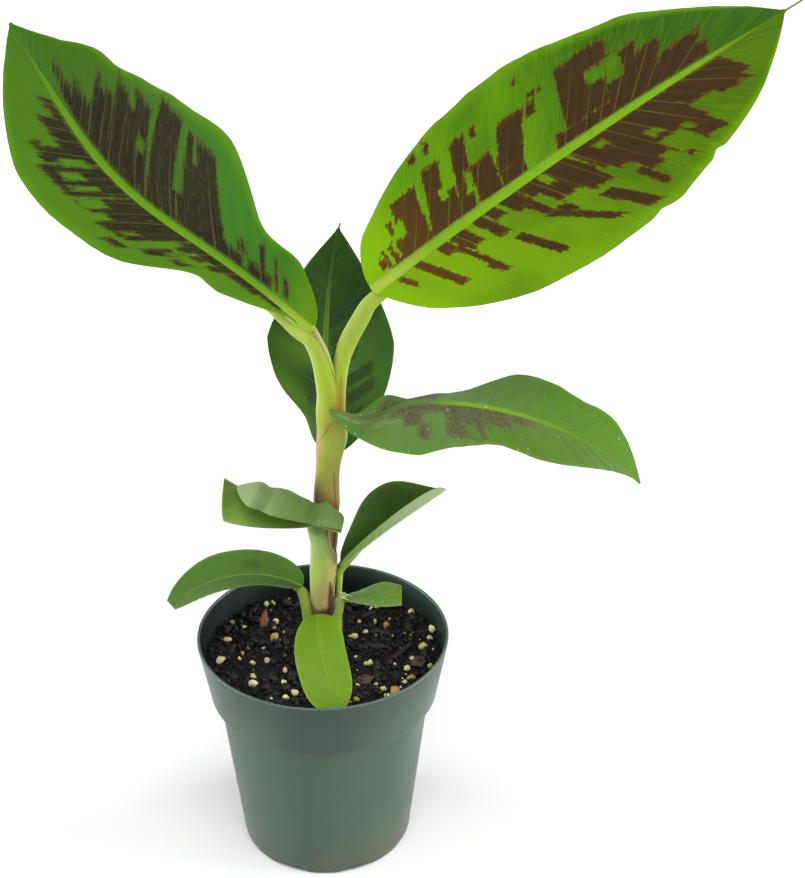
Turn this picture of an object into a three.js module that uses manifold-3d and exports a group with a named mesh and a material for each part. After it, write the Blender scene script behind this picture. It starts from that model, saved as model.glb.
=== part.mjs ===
// A young banana plant in a round green nursery pot.
// Millimetres, +Z up. The origin is the middle of the flat underside of the pot, and -Y is the front.
import * as THREE from 'three';
import { mergeVertices } from 'three/addons/utils/BufferGeometryUtils.js';
import Module from 'manifold-3d';

const wasm = await Module();
wasm.setup();

// ---------------------------------------------------------------- driving dimensions
const pieceGap = 0.3;            // clear space between pieces that touch on the real plant

const potHeight = 103;
const rimRadius = 54;
const rimBandHeight = 28;
const rimBandFootRadius = 49;
const bodyTopRadius = 45.8;
const footRadius = 37;
const wallThickness = 1.3;
const floorThickness = 2;
const footRounding = 2;
const potSides = 40;
const drains = { count: 8, width: 13, inner: 30, notchHeight: 1.6 };

const soilLevel = 91;
const soilRings = 6;
const soilRoughness = 0.9;

const limbSides = 12;
const stemSteps = 14;
const stalkSteps = 7;
const bladeThickness = 0.9;
const bladeRows = { long: 18, short: 11 };
const longBlade = 90;            // a blade longer than this has the larger number of rows
const narrowestHalf = 0.7;       // half width of a blade where its outline comes to a point

// Limbs run through a few stations [x, y, z, half width across, half depth].
const stemStations = [
  [-0.4, 0, 89, 6.4, 6.4],
  [-0.2, 0, 99, 4.3, 4.3],
  [0.2, 0, 118, 4.2, 4.2],
  [0.9, 0, 150, 5.0, 5.0],
  [2.2, 0, 165, 5.6, 5.6],
  [4.4, 0, 202, 5.8, 5.8],
  [5.5, 0, 219, 5.5, 5.5],
];
const stemTop = 219;

const sheathStations = [
  [-0.2, 0, 99.5, 5.5, 5.5],
  [0.1, 0, 118, 5.6, 5.6],
  [0.5, 0, 140, 6.2, 6.2],
  [0.6, -0.2, 157, 6.9, 6.6],
];

const upperLeftStalk = [
  [2.6, 0.2, stemTop, 2.6, 4.8],
  [1.2, 1, 232, 3.2, 4.2],
  [-1.7, 2.7, 244.5, 3.7, 3.4],
];
const upperRightStalk = [
  [8.3, 0.2, stemTop, 2.5, 4.7],
  [10.4, 1.3, 233, 3.1, 4.0],
  [15.2, 3.3, 247, 3.6, 3.4],
  [22.6, 5.2, 261, 3.4, 2.8],
];
const backStalk = [
  [2.2, 6, 163, 2.4, 2.0],
  [2.8, 8.6, 174, 2.3, 2.0],
  [3.4, 10.8, 182.9, 2.0, 1.8],
];
const lowRightStalk = [
  [5.2, 2.4, 97, 2.4, 2.4],
  [7.2, 2.6, 117, 2.2, 2.2],
  [9.8, 3, 130, 2.0, 2.0],
  [12.8, 3.4, 138, 1.7, 1.7],
];
const baseRightStalk = [
  [5.4, -2.8, 89, 3.0, 2.8],
  [8.3, -1.6, 105, 2.6, 2.2],
  [8.6, 1.8, 119.9, 1.5, 1.4],
];
const baseLeftStalk = [
  [-5.2, -1.2, 89, 3.0, 2.8],
  [-7.9, -0.9, 109, 2.4, 2.2],
  [-8.4, 1.8, 125, 1.9, 1.7],
];
const frontStalk = [
  [-0.4, -4.6, 89, 2.6, 2.2],
  [-0.8, -7.2, 106, 2.2, 1.8],
  [-1, -7.2, 117, 1.9, 1.5],
];

// Blades. heading and rise are the direction of the midrib at the foot and at the tip, in degrees: heading
// is measured from +X towards +Y, rise from level. roll turns the blade about its midrib. Each side has a
// share of the half width, the place of its broadest point, a neck exponent at the foot, a fullness exponent
// at the tip, a fold away from flat and a curl across its width (foot and tip), and a wave of its margin.
const blades = {
  upper_left_leaf: {
    start: [-1.5, 3, 245.5], length: 200, width: 86, rib: 3.0,
    heading: [151, 120], headingPower: 1.3, rise: [22, 30], risePower: 1.1, roll: [-4, 28], fullness: 1.9,
    left: { begins: 0.13, broadest: 0.3, neck: 2, tip: 1.7, fold: [20, 6] },
    right: { broadest: 0.62, neck: 1.1, tip: 1.2, fold: [18, 8], wave: [0.09, 2.3, 0.24] },
  },
  upper_right_leaf: {
    start: [22.5, 5.5, 262], length: 207, width: 101, rib: 2.8, thread: 9,
    heading: [25, 29], rise: [29, 20], roll: [-14, -22], fullness: 2,
    left: { broadest: 0.42, neck: 1.1, tip: 2.4, fold: [3, 5] },
    right: { broadest: 0.34, neck: 1.4, tip: 2.6, fold: [-4, 2] },
  },
  back_leaf: {
    start: [3.5, 11, 183.5], length: 106, width: 58, rib: 1.8, thread: 3,
    heading: [97, 80], rise: [60, 23], roll: [-13, 12], fullness: 1.8,
    left: { share: 0.85, broadest: 0.46, neck: 1.6, tip: 1.2, fold: [19, 6] },
    right: { broadest: 0.44, neck: 1.1, tip: 1.4, fold: [12, 9] },
  },
  mid_right_leaf: {
    start: [7.5, -2.5, 211], length: 133, width: 66, rib: 2.0, thread: 7,
    heading: [-3, -4], rise: [20, -45], roll: [10, 2], fullness: 1.6,
    left: { share: 1.35, broadest: 0.76, neck: 2.7, tip: 1.8, fold: [-14, 9], wave: [0.25, 2.2, 0.02] },
    right: { broadest: 0.4, neck: 0.7, tip: 2, fold: [-21, 8], wave: [0.16, 1.9, -0.14] },
  },
  low_left_leaf: {
    start: [9, -6, 158.5], length: 52, width: 28, rib: 1.2,
    heading: [176, 166], rise: [0, 44], roll: [-16, 6], fullness: 1.5,
    left: { begins: 0.25, broadest: 0.82, neck: 1.2, tip: 4, fold: [-10, -38] },
    right: { share: 2, broadest: 0.5, neck: 0.5, tip: 3, fold: [75, 75], curl: [175, 150] },
  },
  low_right_leaf: {
    start: [13, 3.5, 138.5], length: 53, width: 33, rib: 1.5,
    heading: [-21, 48], rise: [59, 5], roll: [-37, 26], fullness: 2,
    left: { broadest: 0.44, neck: 1, tip: 2, fold: [92, 32] },
    right: { broadest: 0.44, neck: 1, tip: 2, fold: [56, 46] },
  },
  base_left_leaf: {
    start: [-8.5, 2, 125.5], length: 64, width: 29, rib: 1.5, cut: 0.93,
    heading: [159, 216], rise: [17, -34], roll: [-1, 2], fullness: 2.1,
    left: { broadest: 0.46, neck: 1, tip: 2, fold: [17, 11] },
    right: { broadest: 0.46, neck: 1, tip: 2, fold: [17, 12] },
  },
  base_right_leaf: {
    start: [8.8, 2.3, 120.5], length: 34, width: 18, rib: 1.2, cut: 0.75,
    heading: [-15, 7], rise: [19, -20], roll: [11, -11], fullness: 2,
    left: { broadest: 0.48, neck: 1, tip: 1.9, fold: [-9, 5] },
    right: { broadest: 0.48, neck: 1, tip: 1.9, fold: [-2, 3] },
  },
  front_leaf: {
    start: [-1, -7.5, 117.5], length: 49, width: 24.5, rib: 1.4,
    heading: [-93, -66], rise: [-3, -52], roll: [-3, -3], fullness: 2,
    left: { broadest: 0.6, neck: 1, tip: 3.5, fold: [-1, -3] },
    right: { broadest: 0.6, neck: 1, tip: 3.5, fold: [-4, -4] },
  },
};

const finishes = {
  potPlastic: { color: 0x5c6f60, roughness: 0.55, metalness: 0 },
  pottingSoil: { color: 0x231a14, roughness: 0.95, metalness: 0 },
  stemSkin: { color: 0x8f9a48, roughness: 0.5, metalness: 0 },
  sheathSkin: { color: 0xa0b060, roughness: 0.5, metalness: 0 },
  stalkSkin: { color: 0xa9bd5a, roughness: 0.45, metalness: 0 },
  leafBlade: { color: 0x4f8427, roughness: 0.45, metalness: 0 },
};

// ---------------------------------------------------------------- helpers
const radians = THREE.MathUtils.degToRad;
const lerp = THREE.MathUtils.lerp;

function piece(name, geometry, finish) {
  const mesh = new THREE.Mesh(geometry, new THREE.MeshStandardMaterial(finishes[finish]));
  mesh.name = name;
  return mesh;
}

function toSolid(geometry) {
  const bare = geometry.clone();
  bare.deleteAttribute('normal');
  bare.deleteAttribute('uv');
  const merged = mergeVertices(bare);
  return new wasm.Manifold(new wasm.Mesh({
    numProp: 3,
    vertProperties: new Float32Array(merged.attributes.position.array),
    triVerts: new Uint32Array(merged.index.array),
  }));
}

function toGeometry(solid) {
  const mesh = solid.getMesh();
  const geometry = new THREE.BufferGeometry();
  geometry.setAttribute('position', new THREE.BufferAttribute(mesh.vertProperties, 3));
  geometry.setIndex(new THREE.BufferAttribute(mesh.triVerts, 1));
  return geometry;
}

// One closed skin from rings of points that all run the same way round, with flat fans over both ends.
function skinOverRings(rings) {
  const size = rings[0].length;
  const points = rings.flat();
  const faces = [];
  for (let r = 0; r < rings.length - 1; r++) {
    for (let i = 0; i < size; i++) {
      const a = r * size + i;
      const b = r * size + (i + 1) % size;
      faces.push(a, b, b + size, a, b + size, a + size);
    }
  }
  const first = points.length;
  points.push(middleOf(rings[0]), middleOf(rings[rings.length - 1]));
  const lastRing = (rings.length - 1) * size;
  for (let i = 0; i < size; i++) {
    const next = (i + 1) % size;
    faces.push(first, next, i);
    faces.push(first + 1, lastRing + i, lastRing + next);
  }
  const geometry = new THREE.BufferGeometry().setFromPoints(points);
  geometry.setIndex(faces);
  return geometry;
}

function middleOf(points) {
  const sum = points.reduce((total, point) => total.add(point), new THREE.Vector3());
  return sum.divideScalar(points.length);
}

// A tapering limb: a smooth curve through its stations, with an oval ring at even steps. grow makes the
// same limb fatter all round, for the clearance that a neighbour keeps to it.
function limb(stations, steps, grow = 0) {
  const curve = new THREE.CatmullRomCurve3(stations.map(([x, y, z]) => new THREE.Vector3(x, y, z)));
  const widths = new THREE.CatmullRomCurve3(stations.map(([, , , a, b]) => new THREE.Vector3(a, b, 0)));
  const rings = [];
  for (let s = 0; s <= steps; s++) {
    const centre = curve.getPoint(s / steps);
    const along = curve.getTangent(s / steps);
    const size = widths.getPoint(s / steps);
    const beyond = s === 0 ? -grow : s === steps ? grow : 0;
    centre.addScaledVector(along, beyond);
    const across = new THREE.Vector3(0, 1, 0).cross(along).normalize();
    const deep = new THREE.Vector3().crossVectors(along, across);
    const ring = [];
    for (let i = 0; i < limbSides; i++) {
      const turn = (2 * Math.PI * i) / limbSides;
      ring.push(centre.clone()
        .addScaledVector(across, Math.cos(turn) * (size.x + grow))
        .addScaledVector(deep, Math.sin(turn) * (size.y + grow)));
    }
    rings.push(ring);
  }
  return skinOverRings(rings);
}

function cutAway(geometry, neighbours) {
  const solid = neighbours.reduce((rest, neighbour) => rest.subtract(toSolid(neighbour)), toSolid(geometry));
  return toGeometry(solid);
}

// ---------------------------------------------------------------- leaf blades
// Half width along the blade, from 0 to 1: an arc up to the broadest point, then a falling power curve.
function outline(along, side, fullness) {
  const begins = side.begins ?? 0;
  const t = THREE.MathUtils.clamp((along - begins) / (1 - begins), 0, 1);
  if (t < side.broadest) {
    const short = 1 - t / side.broadest;
    return Math.pow(Math.max(1 - Math.pow(short, fullness), 0), side.neck / fullness);
  }
  return 1 - Math.pow((t - side.broadest) / (1 - side.broadest), side.tip);
}

// A point of one side: the side leaves the midrib at the fold angle and bends on evenly by the curl angle.
function sidePoint(distance, half, fold, curl) {
  const bend = Math.abs(curl) < 1e-3 ? 1e-3 : curl;
  const angle = fold + (bend * distance) / half;
  return {
    out: (half / bend) * (Math.sin(angle) - Math.sin(fold)),
    up: (half / bend) * (Math.cos(fold) - Math.cos(angle)),
  };
}

function midribFrames(blade, rows) {
  const frames = [];
  const position = new THREE.Vector3(...blade.start);
  const reach = (blade.cut ?? 1) + (blade.thread ?? 0) / blade.length;
  let before = null;
  for (let i = 0; i <= rows; i++) {
    const along = (reach * i) / rows;
    const heading = radians(lerp(...blade.heading, Math.pow(along, blade.headingPower ?? 1)));
    const rise = radians(lerp(...blade.rise, Math.pow(along, blade.risePower ?? 1)));
    const roll = radians(lerp(...blade.roll, along));
    const forward = new THREE.Vector3(
      Math.cos(rise) * Math.cos(heading),
      Math.cos(rise) * Math.sin(heading),
      Math.sin(rise),
    );
    const level = new THREE.Vector3(Math.sin(heading), -Math.cos(heading), 0);
    const upward = new THREE.Vector3().crossVectors(level, forward);
    if (before) {
      const step = (blade.length * reach) / rows;
      position.addScaledVector(before, step / 2).addScaledVector(forward, step / 2);
    }
    before = forward;
    frames.push({
      along,
      centre: position.clone(),
      right: level.clone().multiplyScalar(Math.cos(roll)).addScaledVector(upward, Math.sin(roll)),
      normal: upward.clone().multiplyScalar(Math.cos(roll)).addScaledVector(level, -Math.sin(roll)),
    });
  }
  return frames;
}

// One closed blade: across each row the upper face runs from the left margin over the midrib to the right
// margin, and the lower face runs back, thickened under the midrib.
function bladeSolid(blade) {
  const rows = blade.length > longBlade ? bladeRows.long : bladeRows.short;
  const rings = midribFrames(blade, rows).map(({ along, centre, right, normal }) => {
    const ribHalf = Math.max(blade.rib * (1 - 0.75 * Math.min(along, 1)), 0.35);
    const point = (side, sign, share, lift) => {
      const wave = side.wave ?? [0, 0, 0];
      const ripple = 1 + wave[0] * Math.sin(2 * Math.PI * (wave[1] * along + wave[2]));
      const full = (blade.width / 2) * (side.share ?? 1) * outline(along, side, blade.fullness) * ripple;
      const half = Math.max(full, ribHalf + narrowestHalf);
      const fold = radians(lerp(...side.fold, along));
      const curl = radians(lerp(...(side.curl ?? [0, 0]), along));
      const distance = share === 0 ? ribHalf : lerp(ribHalf, half, share);
      const place = sidePoint(distance, half, fold, curl);
      const tilt = fold + (curl * distance) / half;
      return centre.clone()
        .addScaledVector(right, sign * (place.out - lift * Math.sin(tilt)))
        .addScaledVector(normal, place.up + lift * Math.cos(tilt));
    };
    const lift = bladeThickness / 2;
    const shares = [1, 0.67, 0.33, 0];
    const upper = [
      ...shares.map((share) => point(blade.left, -1, share, lift)),
      ...shares.toReversed().map((share) => point(blade.right, 1, share, lift)),
    ];
    const lower = [
      ...shares.map((share) => point(blade.right, 1, share, -lift)),
      centre.clone().addScaledVector(normal, -lift - 1.1 * ribHalf),
      ...shares.toReversed().map((share) => point(blade.left, -1, share, -lift)),
    ];
    return [...upper, ...lower];
  });
  return skinOverRings(rings);
}

// ---------------------------------------------------------------- pot and soil
const bandFoot = potHeight - rimBandHeight;
const bodySlope = (bodyTopRadius - footRadius) / bandFoot;
const bandSlope = (rimRadius - rimBandFootRadius) / rimBandHeight;

// The inside of the wall, from the rim down to the floor, as [radius, height].
const innerWall = [
  [rimRadius - wallThickness, potHeight],
  [rimBandFootRadius - wallThickness + 2 * bandSlope, bandFoot + 2],
  [bodyTopRadius - wallThickness, bandFoot - 1.5],
  [footRadius + bodySlope * floorThickness - wallThickness, floorThickness],
];

// A body of revolution about the upright axis, from a profile of [radius, height].
function turned(profile) {
  const lathe = new THREE.LatheGeometry(profile.map(([r, z]) => new THREE.Vector2(r, z)), potSides);
  lathe.rotateX(Math.PI / 2);
  return lathe;
}

function potSolid() {
  const shell = turned([
    [0, 0],
    [footRadius - footRounding, 0],
    [footRadius - 0.6, 0.7],
    [footRadius + bodySlope * footRounding, footRounding],
    [bodyTopRadius, bandFoot],
    [rimBandFootRadius, bandFoot],
    [rimRadius, potHeight - 0.6],
    [rimRadius - 0.5, potHeight],
    ...innerWall,
    [0, floorThickness],
  ]);
  const holeOuter = footRadius - wallThickness;
  const cuts = [];
  for (let i = 0; i < drains.count; i++) {
    const turn = (2 * Math.PI * (i + 0.5)) / drains.count;
    cuts.push(drainCut(holeOuter, 2 * floorThickness, turn));
    cuts.push(drainCut(footRadius + footRounding, drains.notchHeight, turn));
  }
  return cutAway(shell, cuts);
}

// A box from below the floor up to the given height, and out to the given radius. The tall one is a hole
// through the floor beside the wall, and the low one is the notch under the wall that lets it drain.
function drainCut(outer, height, turn) {
  const cut = new THREE.BoxGeometry(outer - drains.inner, drains.width, 2 * height);
  cut.translate((outer + drains.inner) / 2, 0, 0);
  cut.rotateZ(turn);
  return cut;
}

// Soft lumps on the soil that die out at the stem, so that the plant stands on a level spot.
function soilHeight(x, y) {
  const away = THREE.MathUtils.smoothstep(Math.hypot(x, y), 12, 22);
  const lumps = Math.sin(0.21 * x + 1.3) * Math.cos(0.17 * y) + 0.6 * Math.sin(0.33 * y - 0.27 * x);
  return soilLevel + soilRoughness * away * (lumps - 0.5);
}

function soilSolid() {
  const [rim, bandTurn, bodyTurn, foot] = innerWall;
  const clear = 2 * pieceGap;
  const edgeHeight = soilLevel - 3;
  const edge = lerp(bandTurn[0], rim[0], (edgeHeight - bandTurn[1]) / (rim[1] - bandTurn[1])) - clear;
  const profile = [
    [0, foot[1] + pieceGap],
    [foot[0] - clear, foot[1] + pieceGap],
    [bodyTurn[0] - clear, bodyTurn[1]],
    [bandTurn[0] - clear, bandTurn[1]],
    [edge, edgeHeight],
  ];
  for (let i = soilRings - 1; i >= 0; i--) {
    profile.push([(edge * i) / (soilRings - 1), soilLevel]);
  }
  const lathe = turned(profile);
  const points = lathe.attributes.position;
  for (let i = 0; i < points.count; i++) {
    if (points.getZ(i) > soilLevel - 0.01) {
      points.setZ(i, soilHeight(points.getX(i), points.getY(i)));
    }
  }
  return lathe;
}

// ---------------------------------------------------------------- assembly
const plant = new THREE.Group();
plant.add(piece('pot', potSolid(), 'potPlastic'));
plant.add(piece('soil', soilSolid(), 'pottingSoil'));

// Everything that grows from the soil has a flat cut just above its level.
const ground = new THREE.BoxGeometry(2 * rimRadius, 2 * rimRadius, soilLevel);
ground.translate(0, 0, soilLevel / 2 + pieceGap);

plant.add(piece('stem', cutAway(limb(stemStations, stemSteps), [ground]), 'stemSkin'));
const stemRoom = limb(stemStations, stemSteps, pieceGap);
plant.add(piece('low_left_sheath', cutAway(limb(sheathStations, stalkSteps), [stemRoom]), 'sheathSkin'));
const sheathRoom = limb(sheathStations, stalkSteps, pieceGap);

// Stalks lean on the stem and on each other, so each is cut clear of those before it.
const stalks = {
  upper_left_stalk: upperLeftStalk,
  upper_right_stalk: upperRightStalk,
  back_stalk: backStalk,
  base_right_stalk: baseRightStalk,
  base_left_stalk: baseLeftStalk,
  front_stalk: frontStalk,
  low_right_stalk: lowRightStalk,
};
const taken = [ground, stemRoom, sheathRoom];
for (const [name, stations] of Object.entries(stalks)) {
  plant.add(piece(name, cutAway(limb(stations, stalkSteps), taken), 'stalkSkin'));
  taken.push(limb(stations, stalkSteps, pieceGap));
}

for (const [name, blade] of Object.entries(blades)) {
  plant.add(piece(name, cutAway(bladeSolid(blade), taken), 'leafBlade'));
}

export default plant;
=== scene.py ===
import bpy
import numpy as np
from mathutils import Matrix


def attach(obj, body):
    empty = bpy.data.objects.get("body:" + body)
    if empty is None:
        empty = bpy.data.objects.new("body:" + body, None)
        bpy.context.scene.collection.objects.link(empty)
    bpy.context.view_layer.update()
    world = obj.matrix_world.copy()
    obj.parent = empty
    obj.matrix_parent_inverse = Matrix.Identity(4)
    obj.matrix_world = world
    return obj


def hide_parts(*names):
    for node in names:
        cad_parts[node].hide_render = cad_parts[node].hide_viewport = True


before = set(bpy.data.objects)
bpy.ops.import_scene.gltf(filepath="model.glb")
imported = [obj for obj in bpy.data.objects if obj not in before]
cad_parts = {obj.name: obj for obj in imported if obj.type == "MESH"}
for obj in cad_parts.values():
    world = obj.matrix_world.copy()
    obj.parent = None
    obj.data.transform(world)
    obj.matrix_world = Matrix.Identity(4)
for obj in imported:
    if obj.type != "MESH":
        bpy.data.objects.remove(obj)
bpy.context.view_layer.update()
print("frame loaded:", len(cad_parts), "nodes")

# Lengths in the dictionaries are millimetres and angles are degrees. Colours are linear red, green, blue.
mm = 0.001


# small helpers for arrays
def mix(pair, share):
    # the first value plus a share of the step to the second
    return pair[0] + (pair[1] - pair[0]) * share


def smoothStep(low, high, value):
    # 0 below low, 1 above high, and 3s2 - 2s3 between them
    share = np.clip((value - low) / (high - low), 0, 1)
    return share * share * (3 - 2 * share)


def bell(value, middle, width):
    # e to the power of minus the square of the distance over the width, which is 1 at the middle
    return np.exp(-(((value - middle) / width) ** 2))


def angleFrom(angle, middle):
    # the turn from the middle to the angle in degrees, from -180 to 180
    return (angle - middle + 180) % 360 - 180


def waves(points, length, seed, count=14):
    # the sum of sine waves of about one length in random directions, scaled to about -1 to 1
    rng = np.random.default_rng(seed)
    directions = rng.normal(size=(count, points.shape[-1]))
    directions /= np.linalg.norm(directions, axis=1)[:, None]
    turns = 2 * np.pi / (length * rng.uniform(0.7, 1.5, count))
    phases = rng.uniform(0, 2 * np.pi, count)
    total = np.sin(points @ (directions * turns[:, None]).T + phases).sum(-1)
    return total / np.sqrt(2 * count)


def roughWaves(points, length, seed, octaves):
    # waves of halving length and strength, for uneven ground
    return sum(waves(points, length / 2**i, seed + i) / 2**i for i in range(octaves))


def throughStations(stations, steps):
    # a Catmull-Rom curve through the stations: each column is a cubic between its four nearest values
    values = np.array(stations, float)
    padded = np.vstack([2 * values[0] - values[1], values, 2 * values[-1] - values[-2]])
    place = np.linspace(0, len(values) - 1, steps)
    first = np.minimum(place.astype(int), len(values) - 2)
    s = (place - first)[:, None]
    a, b, c, d = (padded[first + i] for i in range(4))
    return 0.5 * (2 * b + (c - a) * s + (2 * a - 5 * b + 4 * c - d) * s**2 + (3 * b - 3 * c + d - a) * s**3)


def unit(vectors):
    # each vector divided by its own length
    return vectors / np.linalg.norm(vectors, axis=-1, keepdims=True)


# small helpers for meshes
def gridFaces(rows, columns, closed=False, start=0):
    # quads of a grid of points stored row by row, closed round its columns if asked
    r = np.arange(rows - 1)[:, None]
    c = np.arange(columns if closed else columns - 1)[None, :]
    after = (c + 1) % columns
    corners = [r * columns + c, r * columns + after, (r + 1) * columns + after, (r + 1) * columns + c]
    return np.stack(corners, -1).reshape(-1, 4) + start


def tubeFaces(rows, sides):
    # the quads of closed rings, and triangles from the end rings to two poles stored after the rings
    first = np.arange(sides)
    after = (first + 1) % sides
    last, pole = (rows - 1) * sides, rows * sides
    lowCap = np.stack([after, first, np.full(sides, pole)], 1)
    highCap = np.stack([first + last, after + last, np.full(sides, pole + 1)], 1)
    return [gridFaces(rows, sides, closed=True), lowCap, highCap]


def solidFromRings(rings):
    # the points of the rings, with the middles of the first and last ring as poles, and the faces over them
    poles = np.stack([rings[0].mean(0), rings[-1].mean(0)])
    return np.concatenate([rings.reshape(-1, 3), poles]), tubeFaces(*rings.shape[:2])


def newPiece(name, points, faces, skins, replaced=(), faceSkins=None, places=None, maps=None):
    # points in millimetres, faces as arrays with a row of corners for each face, places as the values of each
    # attribute by its name, and maps as a flat place for each point
    mesh = bpy.data.meshes.new(name)
    rows = [row for group in faces for row in group.tolist()]
    mesh.from_pydata((points.reshape(-1, 3) * mm).tolist(), [], rows)
    mesh.update()
    for skin in skins:
        mesh.materials.append(skin)
    if faceSkins is not None:
        mesh.polygons.foreach_set("material_index", faceSkins.astype(np.int32))
    mesh.shade_smooth()
    for key, values in (places or {}).items():
        flat = values.ndim == 1
        layer = mesh.attributes.new(key, "FLOAT" if flat else "FLOAT_VECTOR", "POINT")
        layer.data.foreach_set("value" if flat else "vector", values.astype(np.float32).ravel())
    if maps is not None:
        corners = np.empty(len(mesh.loops), np.int32)
        mesh.loops.foreach_get("vertex_index", corners)
        layer = mesh.uv_layers.new(name="surfaceMap")
        layer.data.foreach_set("uv", maps[corners].astype(np.float32).ravel())
    piece = bpy.data.objects.new(name, mesh)
    bpy.context.scene.collection.objects.link(piece)
    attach(piece, "root")
    if replaced:
        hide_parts(*replaced)
    return piece


# small helpers for materials
def feed(tree, socket, value):
    # a link if the value is another node's output, and otherwise the socket's own number or colour
    if isinstance(value, bpy.types.NodeSocket):
        tree.links.new(value, socket)
    elif isinstance(value, tuple) and len(socket.default_value) == 4:
        socket.default_value = (*value, 1.0)
    else:
        socket.default_value = value


def calc(tree, operation, a, b=0.0, c=0.0):
    # the values put together by a Math node, where MULTIPLY_ADD is a times b plus c
    node = tree.nodes.new("ShaderNodeMath")
    node.operation = operation
    for socket, value in zip(node.inputs, (a, b, c)):
        feed(tree, socket, value)
    return node.outputs[0]


def blend(tree, share, first, second):
    # the first colour plus a share of the step to the second
    node = tree.nodes.new("ShaderNodeMix")
    node.data_type = "RGBA"
    feed(tree, node.inputs[0], share)
    feed(tree, node.inputs[6], first)
    feed(tree, node.inputs[7], second)
    return node.outputs[2]


def spread(tree, value, low, high, toLow=0.0, toHigh=1.0, kind="SMOOTHSTEP"):
    # toLow at low, toHigh at high, with a smooth step between them, or a straight line if kind is LINEAR
    node = tree.nodes.new("ShaderNodeMapRange")
    node.interpolation_type = kind
    for socket, number in zip(node.inputs, (value, low, high, toLow, toHigh)):
        feed(tree, socket, number)
    return node.outputs[0]


def tinted(tree, color, tint, value, low, high, most=1.0):
    # the colour moved towards the tint, by nothing where the value is low and by the most where it is high
    return blend(tree, spread(tree, value, low, high, 0.0, most), color, tint)


def scaledBy(color, factor):
    # each part of the colour times the factor, but not above 1
    return tuple(min(1.0, factor * c) for c in color)


def noise(tree, vector, scale, detail=3.0, roughness=0.55):
    # smooth random numbers from 0 to 1: a sum of octaves, each of half the length and roughness times the
    # height
    node = tree.nodes.new("ShaderNodeTexNoise")
    feed(tree, node.inputs["Vector"], vector)
    feed(tree, node.inputs["Scale"], scale)
    feed(tree, node.inputs["Detail"], detail)
    feed(tree, node.inputs["Roughness"], roughness)
    return node.outputs["Fac"]


def dots(tree, vector, scale, outer, inner, rare, uneven=None):
    # scattered points with a random number each: 1 within inner of a point, 0 beyond outer of it, and only
    # where its number has passed the rare pair
    node = tree.nodes.new("ShaderNodeTexVoronoi")
    feed(tree, node.inputs["Vector"], vector)
    feed(tree, node.inputs["Scale"], scale)
    split = tree.nodes.new("ShaderNodeSeparateColor")
    tree.links.new(node.outputs["Color"], split.inputs[0])
    far = node.outputs["Distance"]
    if uneven is not None:
        far = calc(tree, "MULTIPLY_ADD", uneven, 0.25, far)
    return calc(tree, "MULTIPLY", spread(tree, far, outer, inner), spread(tree, split.outputs[0], *rare))


def stretched(tree, vector, scale):
    # the vector with each part times its own scale
    node = tree.nodes.new("ShaderNodeMapping")
    feed(tree, node.inputs["Vector"], vector)
    node.inputs["Scale"].default_value = scale
    return node.outputs[0]


def combined(tree, x, y, z):
    # a vector of three numbers
    node = tree.nodes.new("ShaderNodeCombineXYZ")
    for socket, value in zip(node.inputs, (x, y, z)):
        feed(tree, socket, value)
    return node.outputs[0]


def numbersOf(tree, vector):
    # the three numbers of a vector
    split = tree.nodes.new("ShaderNodeSeparateXYZ")
    tree.links.new(vector, split.inputs[0])
    return split.outputs


def attribute(tree, name, output="Vector"):
    # a value that the mesh holds for each point: Vector for three numbers, Fac for one
    node = tree.nodes.new("ShaderNodeAttribute")
    node.attribute_name = name
    return node.outputs[output]


def objectPlace(tree):
    # the place on the object in metres
    return tree.nodes.new("ShaderNodeTexCoord").outputs["Object"]


def bump(tree, height, distance, strength):
    # the normal tilted by the slope of a height, where a height of 1 stands for the distance
    node = tree.nodes.new("ShaderNodeBump")
    feed(tree, node.inputs["Height"], height)
    node.inputs["Distance"].default_value = distance
    node.inputs["Strength"].default_value = strength
    return node.outputs[0]


def newSkin(name, specular, under=0.0):
    # a material with the strength of its gloss and the share of light that goes beneath the surface
    skin = bpy.data.materials.new(name)
    skin.use_nodes = True
    shader = skin.node_tree.nodes["Principled BSDF"]
    shader.inputs["Specular IOR Level"].default_value = specular
    shader.inputs["Subsurface Weight"].default_value = under
    shader.inputs["Subsurface Radius"].default_value = (0.6, 1.0, 0.3)
    shader.inputs["Subsurface Scale"].default_value = 1.5 * mm
    return skin, skin.node_tree, shader


def finishSkin(tree, shader, color, roughness, normal=None):
    # the worked-out colour, roughness and normal fed to the shader
    feed(tree, shader.inputs["Base Color"], color)
    feed(tree, shader.inputs["Roughness"], roughness)
    if normal is not None:
        feed(tree, shader.inputs["Normal"], normal)


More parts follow.
